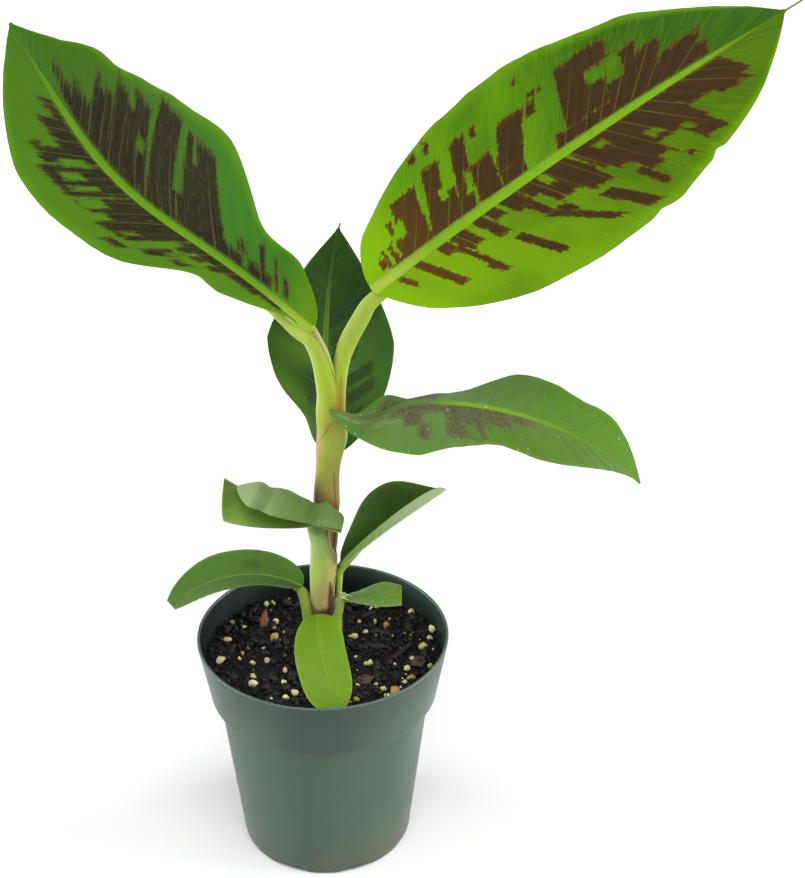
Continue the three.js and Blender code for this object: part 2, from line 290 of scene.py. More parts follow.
# leaves
# Places are shares of the length, from 0 at the foot to 1 at the tip, or millimetres along it.
# - heading, round the upright axis, and rise, above the floor, turn from the foot to the tip, by a power of
#   the way where one is given, and roll turns the blade about its midrib.
# - lead moves the foot and dies out over a share of the length, and bends moves a stretch (shift, place and
#   length).
# - swing moves the midrib to and fro within the blade: how far, and how many turns.
# - thread is a dry thread beyond the tip, and cut is where a blade ends early.
# - rows and columns are the grid, flutter is the height of the waves, and swellShare scales the swelling
#   between the side veins.
# Each side has its share of the half width, where it begins and ends, its broadest place, the powers of its
# neck and its tip, its fold beyond the rib, a curl towards the margin, and:
# - raised is a fold added at the foot, and the share of the length over which it dies out.
# - wave is a wave of the outline (depth, count, phase), with lobes and dents in it (place, depth, length).
# - lean is how far forward the side veins run for each step outwards, at the foot and towards the tip.
# - patches and windows are slanted boxes on the blade: from and to along the midrib, the nearest and furthest
#   distance from it, and how far they slant forward for each step outwards.
leaves = {
    "upperLeftLeaf": dict(
        node="upper_left_leaf", start=(-1.5, 3, 245.5), length=200, width=86, ribWide=2.6, swing=(4.9, 1.3),
        heading=(151, 120), headingPower=1.3, rise=(22, 30), risePower=1.1, roll=(-4, 28), fullness=1.9,
        rows=300, columns=60, flutter=0.9, seed=3,
        left=dict(
            begins=0.03, broadest=0.372, neck=2, tip=1.7, fold=(20, 6), lean=(0.55, 4),
            dents=[(47, 13, 11.5), (88, 1.6, 12), (120, -1.8, 22)],
            patches=[
                (24, 62, 2, 9, 0.3), (38, 58, 8, 13, 0.45), (62, 78, 2, 27, 0.45), (76, 87, 2, 20, 0.45),
                (84, 93, 2, 24, 0.45), (93, 114, 2, 25, 0.55), (57, 66, 30, 34, 0.45),
                (50, 56, 16, 28, 0.45), (114, 128, 2, 21, 0.6), (120, 141, 2, 11, 0.9),
                (138, 152, 2, 6, 1.2), (41, 46, 18, 24, 0.5), (14, 26, 2, 6, 0.3)],
            windows=[
                (44, 46, 8, 20, 0.45), (51, 52.5, 8, 20, 0.45), (66, 68, 19, 24, 0.5), (86, 92, 15, 24, 0.5),
                (97, 100, 11, 20, 0.55), (104, 109, 12, 19, 0.55), (112, 117, 6, 15, 0.6),
                (122, 126, 11, 17, 0.8)]),
        right=dict(
            broadest=0.62, neck=1.1, tip=1.2, fold=(18, 8), wave=(0.09, 2.3, 0.24), lean=(1.1, 3),
            dents=[(26, -2, 8), (48, 2.0, 10), (92, -1.2, 16), (150, 1.6, 7), (166, -1.5, 8)],
            patches=[
                (13, 16, 4, 12, 0.9), (19, 21, 4, 15, 0.9), (26, 29, 6, 17, 0.9), (24, 58, 2, 8, 0.6),
                (45, 71, 2, 37, 1.15), (72, 89, 2, 38, 1.0), (88, 102, 2, 31, 1.15), (100, 114, 2, 27, 1.2),
                (112, 128, 2, 21, 1.3), (126, 142, 2, 11, 1.5), (140, 152, 3, 8, 1.5), (152, 160, 5, 8, 1.5),
                (35, 40, 8, 13, 1.0)],
            windows=[
                (70, 74.5, 13.5, 45, 0.95), (93, 98, 15.5, 19, 1.0), (88, 89.7, 20, 36, 1.1),
                (99, 104, 25, 29, 1.2), (118, 122, 18.5, 22, 1.4), (36, 38, 4, 9, 0.8),
                (57, 59, 28, 40, 1.15)])),
    "upperRightLeaf": dict(
        node="upper_right_leaf", start=(22.5, 5.5, 262), length=207, width=101, ribWide=3.0,
        swing=(-1.0, 0.6), thread=9, heading=(25, 29), rise=(29, 20), roll=(-14, -22), fullness=2,
        rows=300, columns=62, flutter=1.0, seed=5,
        left=dict(
            broadest=0.42, neck=1.1, tip=2.4, fold=(3, 5), lean=(0.75, 9),
            dents=[(100, -2.2, 30), (148, -1.2, 10), (9, -2, 7)],
            patches=[
                (7, 10, 4, 10, 0.25), (11, 21, 2, 13, 0.15), (17, 19.5, 16, 23, 0.2), (18, 31, 2, 30, 0.35),
                (31, 39.5, 2, 33, 0.47), (39, 47, 2, 17.5, 0.35), (45, 52.5, 2, 36, 0.5),
                (55, 66, 2, 21, 0.35), (52, 55, 31, 36, 0.6), (66, 78, 2, 10, 0.4),
                (62.5, 75.5, 9, 30, 0.68), (77, 82, 24, 30, 0.68), (76, 83, 31.5, 34, 0.75),
                (92, 150, 2, 9, 0.6), (98, 120, 8, 36, 0.5), (100, 120, 26.5, 37, 0.6),
                (118, 134, 2, 27, 0.6), (130, 142, 2, 22, 0.8), (140, 160, 2, 15, 1.0),
                (150, 168, 2, 9, 0.6), (78, 82, 41, 44, 0.5), (29, 33, 39, 43, 0.4), (33, 36, 38, 44, 0.5)],
            windows=[
                (12.2, 13.8, 3, 14, 0.15), (16, 17.4, 5, 14, 0.15), (18, 22.5, 12.5, 20, 0.25),
                (29.3, 31.2, 16, 34, 0.4), (40.5, 44, 14.5, 20, 0.3), (49.5, 52.3, 10, 20, 0.5),
                (121, 128.5, 15.5, 27, 0.5), (111.5, 121, 20, 26, 0.5), (88, 92, 2, 9, 0.6)]),
        right=dict(
            broadest=0.34, neck=1.4, tip=2.6, fold=(-4, 2), lean=(0.42, 6),
            dents=[(139, 1.8, 3), (106, 1.0, 3), (115, -0.8, 5), (12, -1.0, 6)],
            patches=[
                (8, 10.5, 4, 12, 0.5), (16.5, 21, 2, 24, 0.45), (28, 34, 2, 9, 0.35),
                (31.5, 34.5, 8, 31, 0.4), (29, 31, 24, 30, 0.45), (35, 42.5, 2, 13.5, 0.33),
                (46, 51, 2, 17, 0.35), (51, 57, 2, 9, 0.4), (44.5, 49, 20.5, 40, 0.5), (59, 68, 2, 12, 0.4),
                (62.5, 67.5, 10, 21, 0.4), (68, 76, 2, 18, 0.42), (68, 88, 2, 19, 0.45),
                (82, 93, 2, 24, 0.42), (64, 70, 20, 27, 0.5), (49, 54, 21, 41, 1.0), (73, 80, 27, 45, 0.68),
                (94, 104, 2, 22, 0.42), (97.5, 102, 27, 40, 0.42), (100, 107, 2, 31, 0.5),
                (106, 118, 2, 28, 0.42), (112, 116, 26, 36, 0.5), (116, 140, 2, 24, 0.4),
                (126, 138, 20, 33, 0.4), (138, 170, 2, 15, 0.5), (150, 165, 12, 19, 0.5)],
            windows=[
                (67, 71, 10.5, 20.5, 0.42), (78, 81.5, 3.5, 9, 0.3), (92, 96.5, 18, 42, 0.42),
                (102.5, 107.5, 5.5, 8.5, 0.4), (118, 123, 14, 18, 0.4), (116, 127, 22, 33, 0.4),
                (128, 131.5, 20, 24, 0.4)])),
    "backLeaf": dict(
        node="back_leaf", start=(3.5, 11, 183.5), length=106, width=58, ribWide=1.5, thread=3,
        heading=(97, 80), rise=(60, 23), roll=(-13, 12), fullness=1.8,
        rows=150, columns=36, flutter=0.5, seed=8,
        left=dict(share=0.85, broadest=0.46, neck=1.6, tip=1.2, fold=(19, 6), lean=(0.7, 4),
                  dents=[(17.5, 4.2, 8)], patches=[(18, 32, 3, 8, 0.5), (48, 60, 3, 7, 0.5)]),
        right=dict(broadest=0.44, neck=1.1, tip=1.4, fold=(12, 9), lean=(0.7, 4),
                   patches=[
                       (6, 12, 8, 15, 0.6), (16, 28, 9, 20, 0.6), (34, 48, 3, 12, 0.6), (54, 62, 2, 8, 0.6)],
                   windows=[(21, 23, 5, 30, 0.6)])),
    "midRightLeaf": dict(
        node="mid_right_leaf", start=(7.5, -2.5, 211), length=133, width=66, ribWide=1.6,
        heading=(-3, -4), rise=(20, -45), roll=(10, 2), fullness=1.6, lead=((-2.6, -2.2, 4.4), 0.065),
        bends=[((0, 0, -5.0), 14.5, 10)],
        rows=200, columns=44, flutter=0.6, seed=13,
        left=dict(share=1.35, broadest=0.76, neck=2.7, tip=1.8, fold=(-14, 9), raised=(42, 0.27),
                  wave=(0.25, 2.2, 0.02), lean=(0.3, 3), lobes=[(19, 10, 7)],
                  dents=[(31, 4.5, 6), (84, 1.5, 8), (112, -1.5, 9)],
                  patches=[(17, 40, 1, 12, 0.2)], windows=[(19, 20, 5, 12, 0.4), (22, 25, 5, 12, 0.2)]),
        right=dict(share=1.03, broadest=0.4, neck=0.85, tip=2, fold=(-21, 8), lean=(0.3, 3),
                   wave=(0.16, 1.9, -0.14), lobes=[(36, 1.6, 8), (55, 0.8, 10)],
                   dents=[(14, 5.3, 8), (67, 2.2, 8), (84, -1.5, 8), (34, -1.2, 8)],
                   patches=[
                       (20, 26, 0, 5, 0.5), (22, 46, -1, 8, 0.2), (27, 35, 6, 17, 0.1),
                       (32, 37, 16, 27, 0.12), (44, 60, -1, 25, 0.1), (58, 70, 1, 15, 0.2),
                       (68, 80, 2, 9, 0.3)],
                   windows=[(60, 63, 14, 22, 0.2), (49, 52, 16, 24, 0.3)])),
    "lowLeftLeaf": dict(
        node="low_left_leaf", start=(9, -6, 158.5), length=53, width=28, ribWide=0.9,
        heading=(176, 166), rise=(14, 31), roll=(-16, 6), fullness=1.5,
        rows=160, columns=50, flutter=0.8, seed=21, veinSpacing=4, swellShare=0.3,
        left=dict(begins=0.2, share=1.12, broadest=0.8, neck=1.1, tip=1.25, fold=(-10, -38), lean=(0.3, 1)),
        right=dict(share=2.3, broadest=0.6, ends=0.89, neck=0.28, tip=3.4, fold=(75, 75), curl=(172, 165),
                   lean=(0.3, 1),
                   dents=[
                       (14.5, 3.4, 3), (9.4, -5, 2.4), (20, 1.4, 3), (27, -1.2, 3), (34.5, 4.2, 2.6),
                       (39.5, -2, 3)])),
    "lowRightLeaf": dict(
        node="low_right_leaf", start=(13, 3.5, 138.5), length=53, width=33, ribWide=1.1,
        heading=(-21, 48), rise=(59, 5), roll=(-37, 26), fullness=2, lead=((-5.2, 0, -3.8), 0.34),
        rows=110, columns=30, flutter=0.3, seed=34, veinSpacing=4,
        left=dict(broadest=0.5, neck=2.1, tip=2.1, fold=(88, 32), lean=(0.5, 2), dents=[(11, 1.5, 8)]),
        right=dict(broadest=0.5, neck=1.7, tip=2, fold=(56, 46), lean=(0.5, 2))),
    "baseLeftLeaf": dict(
        node="base_left_leaf", start=(-8.5, 2, 125.5), length=64, width=29, ribWide=0.9, cut=0.93,
        heading=(159, 216), rise=(17, -34), roll=(-1, 2), fullness=2.1,
        rows=110, columns=30, flutter=0.5, seed=55, veinSpacing=4.5,
        left=dict(broadest=0.46, neck=1, tip=2, fold=(17, 11), lean=(0.5, 2)),
        right=dict(broadest=0.46, neck=1, tip=2, fold=(17, 12), lean=(0.5, 2),
                   patches=[(17, 24, 4, 8, 0.4)])),
    "baseRightLeaf": dict(
        node="base_right_leaf", start=(8.8, 2.3, 120.5), length=34, width=18, ribWide=0.8, cut=0.75,
        heading=(-15, 7), rise=(19, -20), roll=(11, -11), fullness=2, lead=((0, 0, -0.9), 0.6),
        rows=70, columns=24, flutter=0.7, seed=89, veinSpacing=3.5,
        left=dict(broadest=0.48, neck=1, tip=1.9, fold=(-9, 5), lean=(0.5, 1)),
        right=dict(broadest=0.48, neck=1, tip=1.9, fold=(-2, 3), lean=(0.5, 1))),
    "frontLeaf": dict(
        node="front_leaf", start=(-1, -7.5, 117.5), length=49, width=24.5, ribWide=0.9,
        heading=(-93, -56), rise=(-3, -52), roll=(-3, -3), fullness=2,
        rows=100, columns=30, flutter=0.25, seed=144, veinSpacing=4, swellShare=0.05,
        left=dict(share=0.81, broadest=0.32, neck=0.75, tip=5.5, fold=(-1, -3), lean=(0.5, 2)),
        right=dict(share=0.95, broadest=0.55, neck=0.85, tip=4.6, fold=(-4, -4), lean=(0.5, 2))),
}
# The rib narrows as 1 less a power (ribFade) of the way along. Its section is an arc with a hollow (channel)
# above, a low shoulder beside it and a keel below.
bladeDetail = dict(
    thickness=0.5, edgeThickness=0.26, thinFrom=0.5, narrowestHalf=0.6, narrowestRib=0.35, threadHalf=0.9,
    ribColumns=9, ribSpan=1.5, ribShare=0.7, ribFade=2.5, ribAdded=0.3, ribStart=0.03, channel=0.28,
    keel=0.85, shoulder=0.1, shoulderPlace=1.2, shoulderWidth=0.35, veinSpacing=7.5, veinSwell=0.016,
    unevenLength=40, waveFrom=(1.0, 2.2), tipStill=0.06, flutterLength=38, edgeWaves=0.5, edgeLength=16,
    patchEdge=1.4, patchEnd=2.6)


def halfWidth(leaf, side, t):
    # an arc from the foot to the broadest place, then a falling power curve, times a wave, plus the lobes and
    # less the dents
    begins, ends = side.get("begins", 0.0), side.get("ends", 1.0)
    s = np.clip((t - begins) / (ends - begins), 0, 1)
    short = np.clip(1 - s / side["broadest"], 0, 1)
    rising = (1 - short ** leaf["fullness"]) ** (side["neck"] / leaf["fullness"])
    falling = 1 - np.clip((s - side["broadest"]) / (1 - side["broadest"]), 0, 1) ** side["tip"]
    outline = np.where(s < side["broadest"], rising, falling)
    depth, count, phase = side.get("wave", (0, 0, 0))
    wave = 1 + depth * np.sin(2 * np.pi * (count * t + phase))
    half = leaf["width"] / 2 * side.get("share", 1) * outline * wave
    for place, rise, width in side.get("lobes", []):
        half = half + rise * bell(t * leaf["length"], place, width)
    for place, dent, width in side.get("dents", []):
        half = half - dent * bell(t * leaf["length"], place, width) * smoothStep(0, 0.2, outline)
    return half


def ribSwing(leaf, t):
    # a sine along the midrib that dies out towards the tip
    swing, turns = leaf.get("swing", (0, 0))
    return swing * (1 - np.minimum(t, 1)) * np.sin(2 * np.pi * turns * t)


def veinPlace(leaf, side, along, distance):
    # where the side vein through a point leaves the midrib: the c with
    # c + (near + grow (c / length)^6) distance = along, found by halving
    near, grow = side["lean"]
    low = np.full_like(along, -1.5 * leaf["length"])
    high = along.copy()
    for _ in range(30):
        middle = (low + high) / 2
        lean = near + grow * np.clip(middle / leaf["length"], 0, 1) ** 6
        beyond = middle + lean * distance > along
        high = np.where(beyond, middle, high)
        low = np.where(beyond, low, middle)
    return (low + high) / 2


def blotchBias(side, along, distance):
    # 1 well inside a patch and -1 well outside, falling evenly over its edges; a window turns it round
    def inside(box):
        first, last, near, far, slant = box
        place = along - slant * distance
        across = np.minimum(place - first, last - place) / bladeDetail["patchEdge"]
        inward = (distance - near) / bladeDetail["patchEdge"]
        outward = (far - distance) / bladeDetail["patchEnd"]
        return np.clip(np.minimum(across, np.minimum(inward, outward)), -1, 1)

    bias = np.full_like(distance, -1.0)
    for patch in side.get("patches", []):
        bias = np.maximum(bias, inside(patch))
    for window in side.get("windows", []):
        bias = np.minimum(bias, -inside(window))
    return bias


def midrib(leaf, t):
    # the running sum of the heading and rise direction, with its sideways and upward directions
    heading = np.radians(mix(leaf["heading"], t ** leaf.get("headingPower", 1)))
    rise = np.radians(mix(leaf["rise"], t ** leaf.get("risePower", 1)))
    roll = np.radians(mix(leaf["roll"], t))[:, None]
    forward = np.stack([np.cos(rise) * np.cos(heading), np.cos(rise) * np.sin(heading), np.sin(rise)], 1)
    steps = leaf["length"] * np.diff(t)[:, None] * (forward[1:] + forward[:-1]) / 2
    centre = np.array(leaf["start"]) + np.vstack([np.zeros(3), np.cumsum(steps, 0)])
    level = np.stack([np.sin(heading), -np.cos(heading), 0 * heading], 1)
    upward = np.cross(level, forward)
    sideways = np.cos(roll) * level + np.sin(roll) * upward
    normal = np.cos(roll) * upward - np.sin(roll) * level
    lead, reach = leaf.get("lead", ((0, 0, 0), 1))
    centre = centre + np.array(lead) * smoothStep(reach, 0, t)[:, None]
    for shift, place, width in leaf.get("bends", []):
        centre = centre + np.array(shift) * bell(t * leaf["length"], place, width)[:, None]
    return centre + ribSwing(leaf, t)[:, None] * sideways, sideways, normal


def bladeGrid(leaf, side, sign, t):
    # the half width of the rib and of the blade, and distances from the midrib in even steps over the rib and
    # then in even steps out to the margin
    detail = bladeDetail
    narrowing = leaf["ribWide"] * (1 - np.minimum(t, 1) ** detail["ribFade"])
    ribHalf = np.maximum(narrowing, detail["narrowestRib"])[:, None]
    half = (halfWidth(leaf, side, t) - sign * ribSwing(leaf, t))[:, None]
    least = np.minimum(ribHalf, detail["threadHalf"]) + detail["narrowestHalf"] * (t < 1)[:, None]
    half = np.maximum(half, least)
    ribEdge = np.minimum(detail["ribSpan"] * ribHalf, detail["ribShare"] * half)
    inner = np.linspace(0, 1, detail["ribColumns"])
    outer = np.linspace(0, 1, leaf["columns"] + 1)[1:]
    return ribHalf, half, np.hstack([ribEdge * inner, ribEdge + (half - ribEdge) * outer])


def bladeSection(side, t, ribHalf, half, distance):
    # the slope starts level, turns to the fold beyond the rib and bends on by the curl, and the place is the
    # running sum of its cosine and sine
    angle, reach = side.get("raised", (0, 1))
    fold = np.radians(mix(side["fold"], t) + angle * smoothStep(reach, 0, t))[:, None]
    curl = np.radians(mix(side.get("curl", (0, 0)), t))[:, None]
    slope = fold * (1 - np.exp(-((distance / ribHalf) ** 2))) + curl * distance / half
    between = (slope[:, 1:] + slope[:, :-1]) / 2
    steps = np.diff(distance, axis=1)
    zero = np.zeros((len(t), 1))
    out = np.hstack([zero, np.cumsum(np.cos(between) * steps, 1)])
    up = np.hstack([zero, np.cumsum(np.sin(between) * steps, 1)])
    return slope, out, up


def bladeLift(leaf, sign, t, along, vein, ribHalf, distance, share, seed):
    # how far the blade lies off its even shape: a cosine across the side veins, slow waves that grow with the
    # square of the way out, and waves of the margin that grow with its fourth power
    detail = bladeDetail
    beyondRib = smoothStep(*detail["waveFrom"], distance / ribHalf)
    body = beyondRib * smoothStep(0, detail["tipStill"], 1 - t)[:, None]
    spacing = leaf.get("veinSpacing", detail["veinSpacing"])
    uneven = waves(np.stack([vein / detail["unevenLength"], 0 * vein + sign], -1), 1.0, seed + 90)
    height = detail["veinSwell"] * leaf.get("swellShare", 1) * spacing * (1 - 0.4 * share)
    swell = height * np.cos(2 * np.pi * vein / spacing + 1.5 * uneven) * body
    slow = waves(np.stack([along / detail["flutterLength"], share * 0.8, 0 * share + sign], -1), 1.0, seed)
    quick = waves(np.stack([vein / detail["edgeLength"], 0 * vein, 0 * vein + sign], -1), 1.0, seed + 50)
    flutter = slow * share**2 * body + detail["edgeWaves"] * quick * share**4 * body
    return swell + leaf["flutter"] * flutter


def bladeSide(leaf, side, sign, t, seed):
    # one side of the blade from the midrib outwards: the section, with half the thickness and the rib's arc
    # added above and below it
    detail = bladeDetail
    ribHalf, half, distance = bladeGrid(leaf, side, sign, t)
    slope, out, up = bladeSection(side, t, ribHalf, half, distance)
    along = np.broadcast_to((t * leaf["length"])[:, None], distance.shape)
    vein = veinPlace(leaf, side, along, distance)
    share = distance / half
    lift = bladeLift(leaf, sign, t, along, vein, ribHalf, distance, share, seed)
    thick = mix((detail["thickness"], detail["edgeThickness"]), smoothStep(detail["thinFrom"], 1, share)) / 2
    rib = np.clip(1 - (distance / ribHalf) ** 2, 0, 1)
    ribSize = (ribHalf + detail["ribAdded"]) * smoothStep(0, detail["ribStart"], t)[:, None]
    beside = bell(distance / ribHalf, detail["shoulderPlace"], detail["shoulderWidth"])
    shoulder = detail["shoulder"] * beside * ribSize
    top = lift + thick - detail["channel"] * rib * ribSize + shoulder
    bottom = lift - thick - detail["keel"] * np.sqrt(rib) * ribSize
    return dict(
        out=sign * out, up=up, tilt=slope, sign=sign, top=top, bottom=bottom, vein=vein, share=share,
        distance=sign * distance, rib=distance / ribHalf, bias=blotchBias(side, along, distance))


def placeOnBlade(side, lift, centre, sideways, normal):
    # the midrib plus the way out and up across it, moved by the lift at right angles to the slope
    out = side["out"] - side["sign"] * lift * np.sin(side["tilt"])
    up = side["up"] + lift * np.cos(side["tilt"])
    return centre[:, None] + out[..., None] * sideways[:, None] + up[..., None] * normal[:, None]


def buildLeaf(name, leaf, topSkin, underSkin):
    # a closed blade: the upper face from the left margin over the midrib to the right margin, the lower face
    # beneath it, and a strip that joins the two all round
    reach = leaf.get("cut", 1) + leaf.get("thread", 0) / leaf["length"]
    t = np.linspace(0, reach, leaf["rows"])
    frameOfRib = midrib(leaf, t)
    sides = [
        bladeSide(leaf, leaf["left"], -1, t, leaf["seed"]),
        bladeSide(leaf, leaf["right"], 1, t, leaf["seed"] + 7)]

    def both(values):
        # the left side's columns turned round, then the right side's
        return np.concatenate([values[0][:, :0:-1], values[1]], 1)

    upper, lower = (
        both([placeOnBlade(side, side[key], *frameOfRib) for side in sides]) for key in ("top", "bottom"))
    rows, columns = upper.shape[:2]
    count = rows * columns
    top = gridFaces(rows, columns)
    under = gridFaces(rows, columns, start=count)[:, ::-1]
    index = np.arange(count).reshape(rows, columns)
    ring = np.concatenate([index[0, :-1], index[:-1, -1], index[-1, :0:-1], index[:0:-1, 0]])
    after = np.roll(ring, -1)
    strip = np.stack([after, ring, ring + count, after + count], 1)
    faceSkins = np.repeat([0, 1, 0], [len(top), len(under), len(strip)])
    kept = ("vein", "distance", "rib", "share", "bias")
    fields = {key: both([side[key] for side in sides]) for key in kept}
    along = np.broadcast_to(t[:, None], (rows, columns))
    place = np.stack([fields["vein"], fields["distance"], along], -1).reshape(-1, 3)
    share = np.stack([fields["rib"], fields["share"], np.tanh(fields["distance"])], -1).reshape(-1, 3)
    places = {
        "leafPlace": np.tile(place, (2, 1)), "leafShare": np.tile(share, (2, 1)),
        "leafBlotch": np.tile(fields["bias"].ravel(), 2)}
    across = np.broadcast_to(np.linspace(0, 1, columns), (rows, columns))
    # the map holds the upper face in its left half and the lower face in its right half
    flat = np.stack([across * 0.48, along / reach], -1).reshape(-1, 2)
    newPiece(name, np.stack([upper, lower]), [top, under, strip], [topSkin, underSkin],
             [leaf["node"]], faceSkins, places, np.concatenate([flat, flat + [0.52, 0]]))


# Colours of the blades, and how strong each part of the pattern is.
# - left and right are the sides at the foot and the tip, which change over the grown stretch.
# - margin is the edge, and foot the first stretch above the stalk, up to footReach.
# - under, underDeep and underFoot are the lower face, which loses underFoot over underReach.
# - cloud and grain are the broad and the fine unevenness, lines and underLines the side veins.
# - the rib has a ribColor and a ribFoot, covers ribReach half widths, and fades over ribFade. ribDull hides
#   all but its foot.
# - blotches are blotchFoot, then blotch, then blotchTip along the blade, with blotchEdge at their edges. soft
#   is the width of those edges, ragged their unevenness, mottle their spots, veinColor their side veins.
# - drops are water drops, and film is a grey waxy bloom with painted sheen: its colour, where it is whole and
#   where it ends.
bladeLooks = {
    "upperLeftLeaf": dict(
        left=((0.075, 0.18, 0.006), (0.055, 0.145, 0.006)), right=((0.035, 0.14, 0.008), (0.04, 0.12, 0.006)),
        margin=(0.09, 0.22, 0.004), blotch=(0.017, 0.011, 0.006), blotchTip=(0.015, 0.012, 0.006),
        blotchShare=0.96, blotchEdge=(0.05, 0.055, 0.008), soft=0.45, veinColor=(0.085, 0.09, 0.03),
        lines=0.08, ribColor=(0.115, 0.26, 0.008), ribFoot=(0.3, 0.43, 0.04), foot=(0.14, 0.3, 0.004),
        footReach=0.17),
    "upperRightLeaf": dict(
        left=((0.1, 0.25, 0.001), (0.025, 0.09, 0.003)), right=((0.12, 0.25, 0.002), (0.062, 0.14, 0.001)),
        margin=(0.13, 0.28, 0.002), blotch=(0.036, 0.0155, 0.006), blotchTip=(0.04, 0.018, 0.005),
        blotchShare=0.97, blotchFoot=(0.085, 0.032, 0.005), blotchEdge=(0.09, 0.05, 0.003), soft=0.14,
        veinColor=(0.105, 0.095, 0.012), lines=0.05, ribColor=(0.165, 0.34, 0.008), ribFoot=(0.3, 0.43, 0.04),
        foot=(0.19, 0.38, 0.001), footReach=0.24),
    "backLeaf": dict(
        left=((0.09, 0.2, 0.022), (0.018, 0.05, 0.006)), right=((0.056, 0.145, 0.022), (0.02, 0.05, 0.007)),
        margin=(0.06, 0.14, 0.016), blotch=(0.024, 0.035, 0.013), blotchTip=(0.018, 0.03, 0.012),
        blotchShare=0.75, soft=0.7, ribColor=(0.12, 0.24, 0.02), ribFade=(0.45, 0.8), lines=0.06, grain=0.13,
        cloud=0.8),
    "midRightLeaf": dict(
        left=((0.085, 0.17, 0.03), (0.07, 0.18, 0.009)), right=((0.085, 0.18, 0.036), (0.072, 0.165, 0.013)),
        margin=(0.1, 0.21, 0.02), blotch=(0.072, 0.052, 0.035), blotchTip=(0.08, 0.08, 0.028),
        blotchShare=0.9, blotchEdge=(0.1, 0.11, 0.045), soft=1.0, ragged=5.5, mottle=0.9,
        veinColor=(0.1, 0.12, 0.04), lines=0.1, ribColor=(0.16, 0.32, 0.012), ribReach=2.0,
        ribFade=(0.45, 0.8), ribDull=(0.1, 0.165, 0.045), drops=(0.6, 0.68, 0.5),
        # a grey waxy bloom with painted sheen of the sky
        bloomSheen=((0.2, 0.23, 0.13), 0.14, 0.36)),
    "lowLeftLeaf": dict(
        # painted light: the left side's foot colour lies far above the leaf's own green to cancel the shade of
        # the hood, and grown keeps it over most of the blade
        left=((0.26, 0.4, 0.06), (0.07, 0.16, 0.016)), right=((0.13, 0.2, 0.055), (0.12, 0.19, 0.05)),
        grown=(0.85, 1.12), margin=(0.2, 0.32, 0.08), under=(0.225, 0.305, 0.135),
        underDeep=(0.19, 0.265, 0.11), underFoot=(0.125, 0.2, 0.055), underReach=(0.35, 0.75),
        ribColor=(0.24, 0.36, 0.08), lines=0.35, underLines=0.05),
    "lowRightLeaf": dict(
        left=((0.08, 0.17, 0.03), (0.065, 0.13, 0.026)), right=((0.09, 0.16, 0.03), (0.08, 0.15, 0.03)),
        margin=(0.13, 0.22, 0.05), under=(0.31, 0.39, 0.21), underDeep=(0.27, 0.35, 0.17),
        underFoot=(0.17, 0.28, 0.07), underReach=(0.3, 0.8), ribColor=(0.2, 0.33, 0.06), lines=0.1),
    "baseLeftLeaf": dict(
        left=((0.08, 0.135, 0.04), (0.08, 0.145, 0.037)), right=((0.078, 0.18, 0.03), (0.07, 0.155, 0.026)),
        margin=(0.12, 0.22, 0.04), blotch=(0.04, 0.09, 0.022), blotchTip=(0.04, 0.09, 0.02), blotchShare=0.6,
        ribColor=(0.14, 0.26, 0.035), soft=0.8, lines=0.1),
    "baseRightLeaf": dict(
        left=((0.15, 0.25, 0.07), (0.11, 0.22, 0.027)), right=((0.15, 0.25, 0.07), (0.11, 0.22, 0.027)),
        margin=(0.18, 0.28, 0.08), ribColor=(0.17, 0.28, 0.06), lines=0.08),
    "frontLeaf": dict(
        left=((0.15, 0.27, 0.014), (0.13, 0.25, 0.013)), right=((0.14, 0.26, 0.014), (0.12, 0.24, 0.013)),
        margin=(0.2, 0.33, 0.03), ribColor=(0.17, 0.3, 0.022), lines=0.0, grain=0.06, cloud=0.5),
}
keelFoot = (0.34, 0.46, 0.09)
driedColor = (0.2, 0.17, 0.09)


def sideVeins(tree, vein, spacing, width):
    # thin lines at uneven steps along the midrib, each with its own strength: a line where the fraction of
    # vein / spacing + 1.3 noise is close to a half
    wander = noise(tree, combined(tree, vein, 0.0, 0.0), scale=0.06, detail=1.0)
    phase = calc(tree, "ADD", calc(tree, "DIVIDE", vein, spacing), calc(tree, "MULTIPLY", wander, 1.3))
    apart = calc(tree, "ABSOLUTE", calc(tree, "SUBTRACT", calc(tree, "FRACT", phase), 0.5))
    line = spread(tree, calc(tree, "MULTIPLY", apart, spacing), width, 0.2 * width)
    strength = noise(tree, combined(tree, calc(tree, "FLOOR", phase), 0.0, 0.0), scale=3.7, detail=0.0)
    return calc(tree, "MULTIPLY", line, spread(tree, strength, 0.3, 0.6, toLow=0.2, toHigh=1.0))


def leafStreaks(tree, alongScale, acrossScale, layer, detail=2.0, roughness=0.55):
    # noise drawn out along the side veins: its place is the vein and the distance, each times its own scale
    vein, distance, _ = numbersOf(tree, attribute(tree, "leafPlace"))
    along = calc(tree, "MULTIPLY", vein, alongScale)
    across = calc(tree, "MULTIPLY", distance, acrossScale)
    return noise(tree, combined(tree, along, across, layer), scale=1.0, detail=detail, roughness=roughness)


def bladeGreen(tree, look, along, share, side, fine, cloud):
    # the left and right colours from foot to tip, then the margin, the stretch above the stalk, clouds and
    # grain
    drifting = calc(tree, "MULTIPLY_ADD", cloud, 0.5, along)
    grown = spread(tree, drifting, *look.get("grown", (0.45, 1.0)))
    left, right = (blend(tree, grown, *look[key]) for key in ("left", "right"))
    green = blend(tree, spread(tree, side, -0.5, 0.5), left, right)
    green = tinted(tree, green, look["margin"], share, low=0.86, high=1.0, most=0.8)
    if "foot" in look:
        above = calc(tree, "MULTIPLY_ADD", cloud, 0.1, along)
        green = tinted(tree, green, look["foot"], above, low=look["footReach"] + 0.05, high=0.03)
    shade, light = scaledBy(look["left"][1], 0.8), scaledBy(look["right"][0], 1.35)
    green = tinted(tree, green, shade, cloud, low=0.35, high=0.7, most=look.get("cloud", 0.3))
    return tinted(tree, green, light, fine, low=0.4, high=0.75, most=look.get("grain", 0.22))


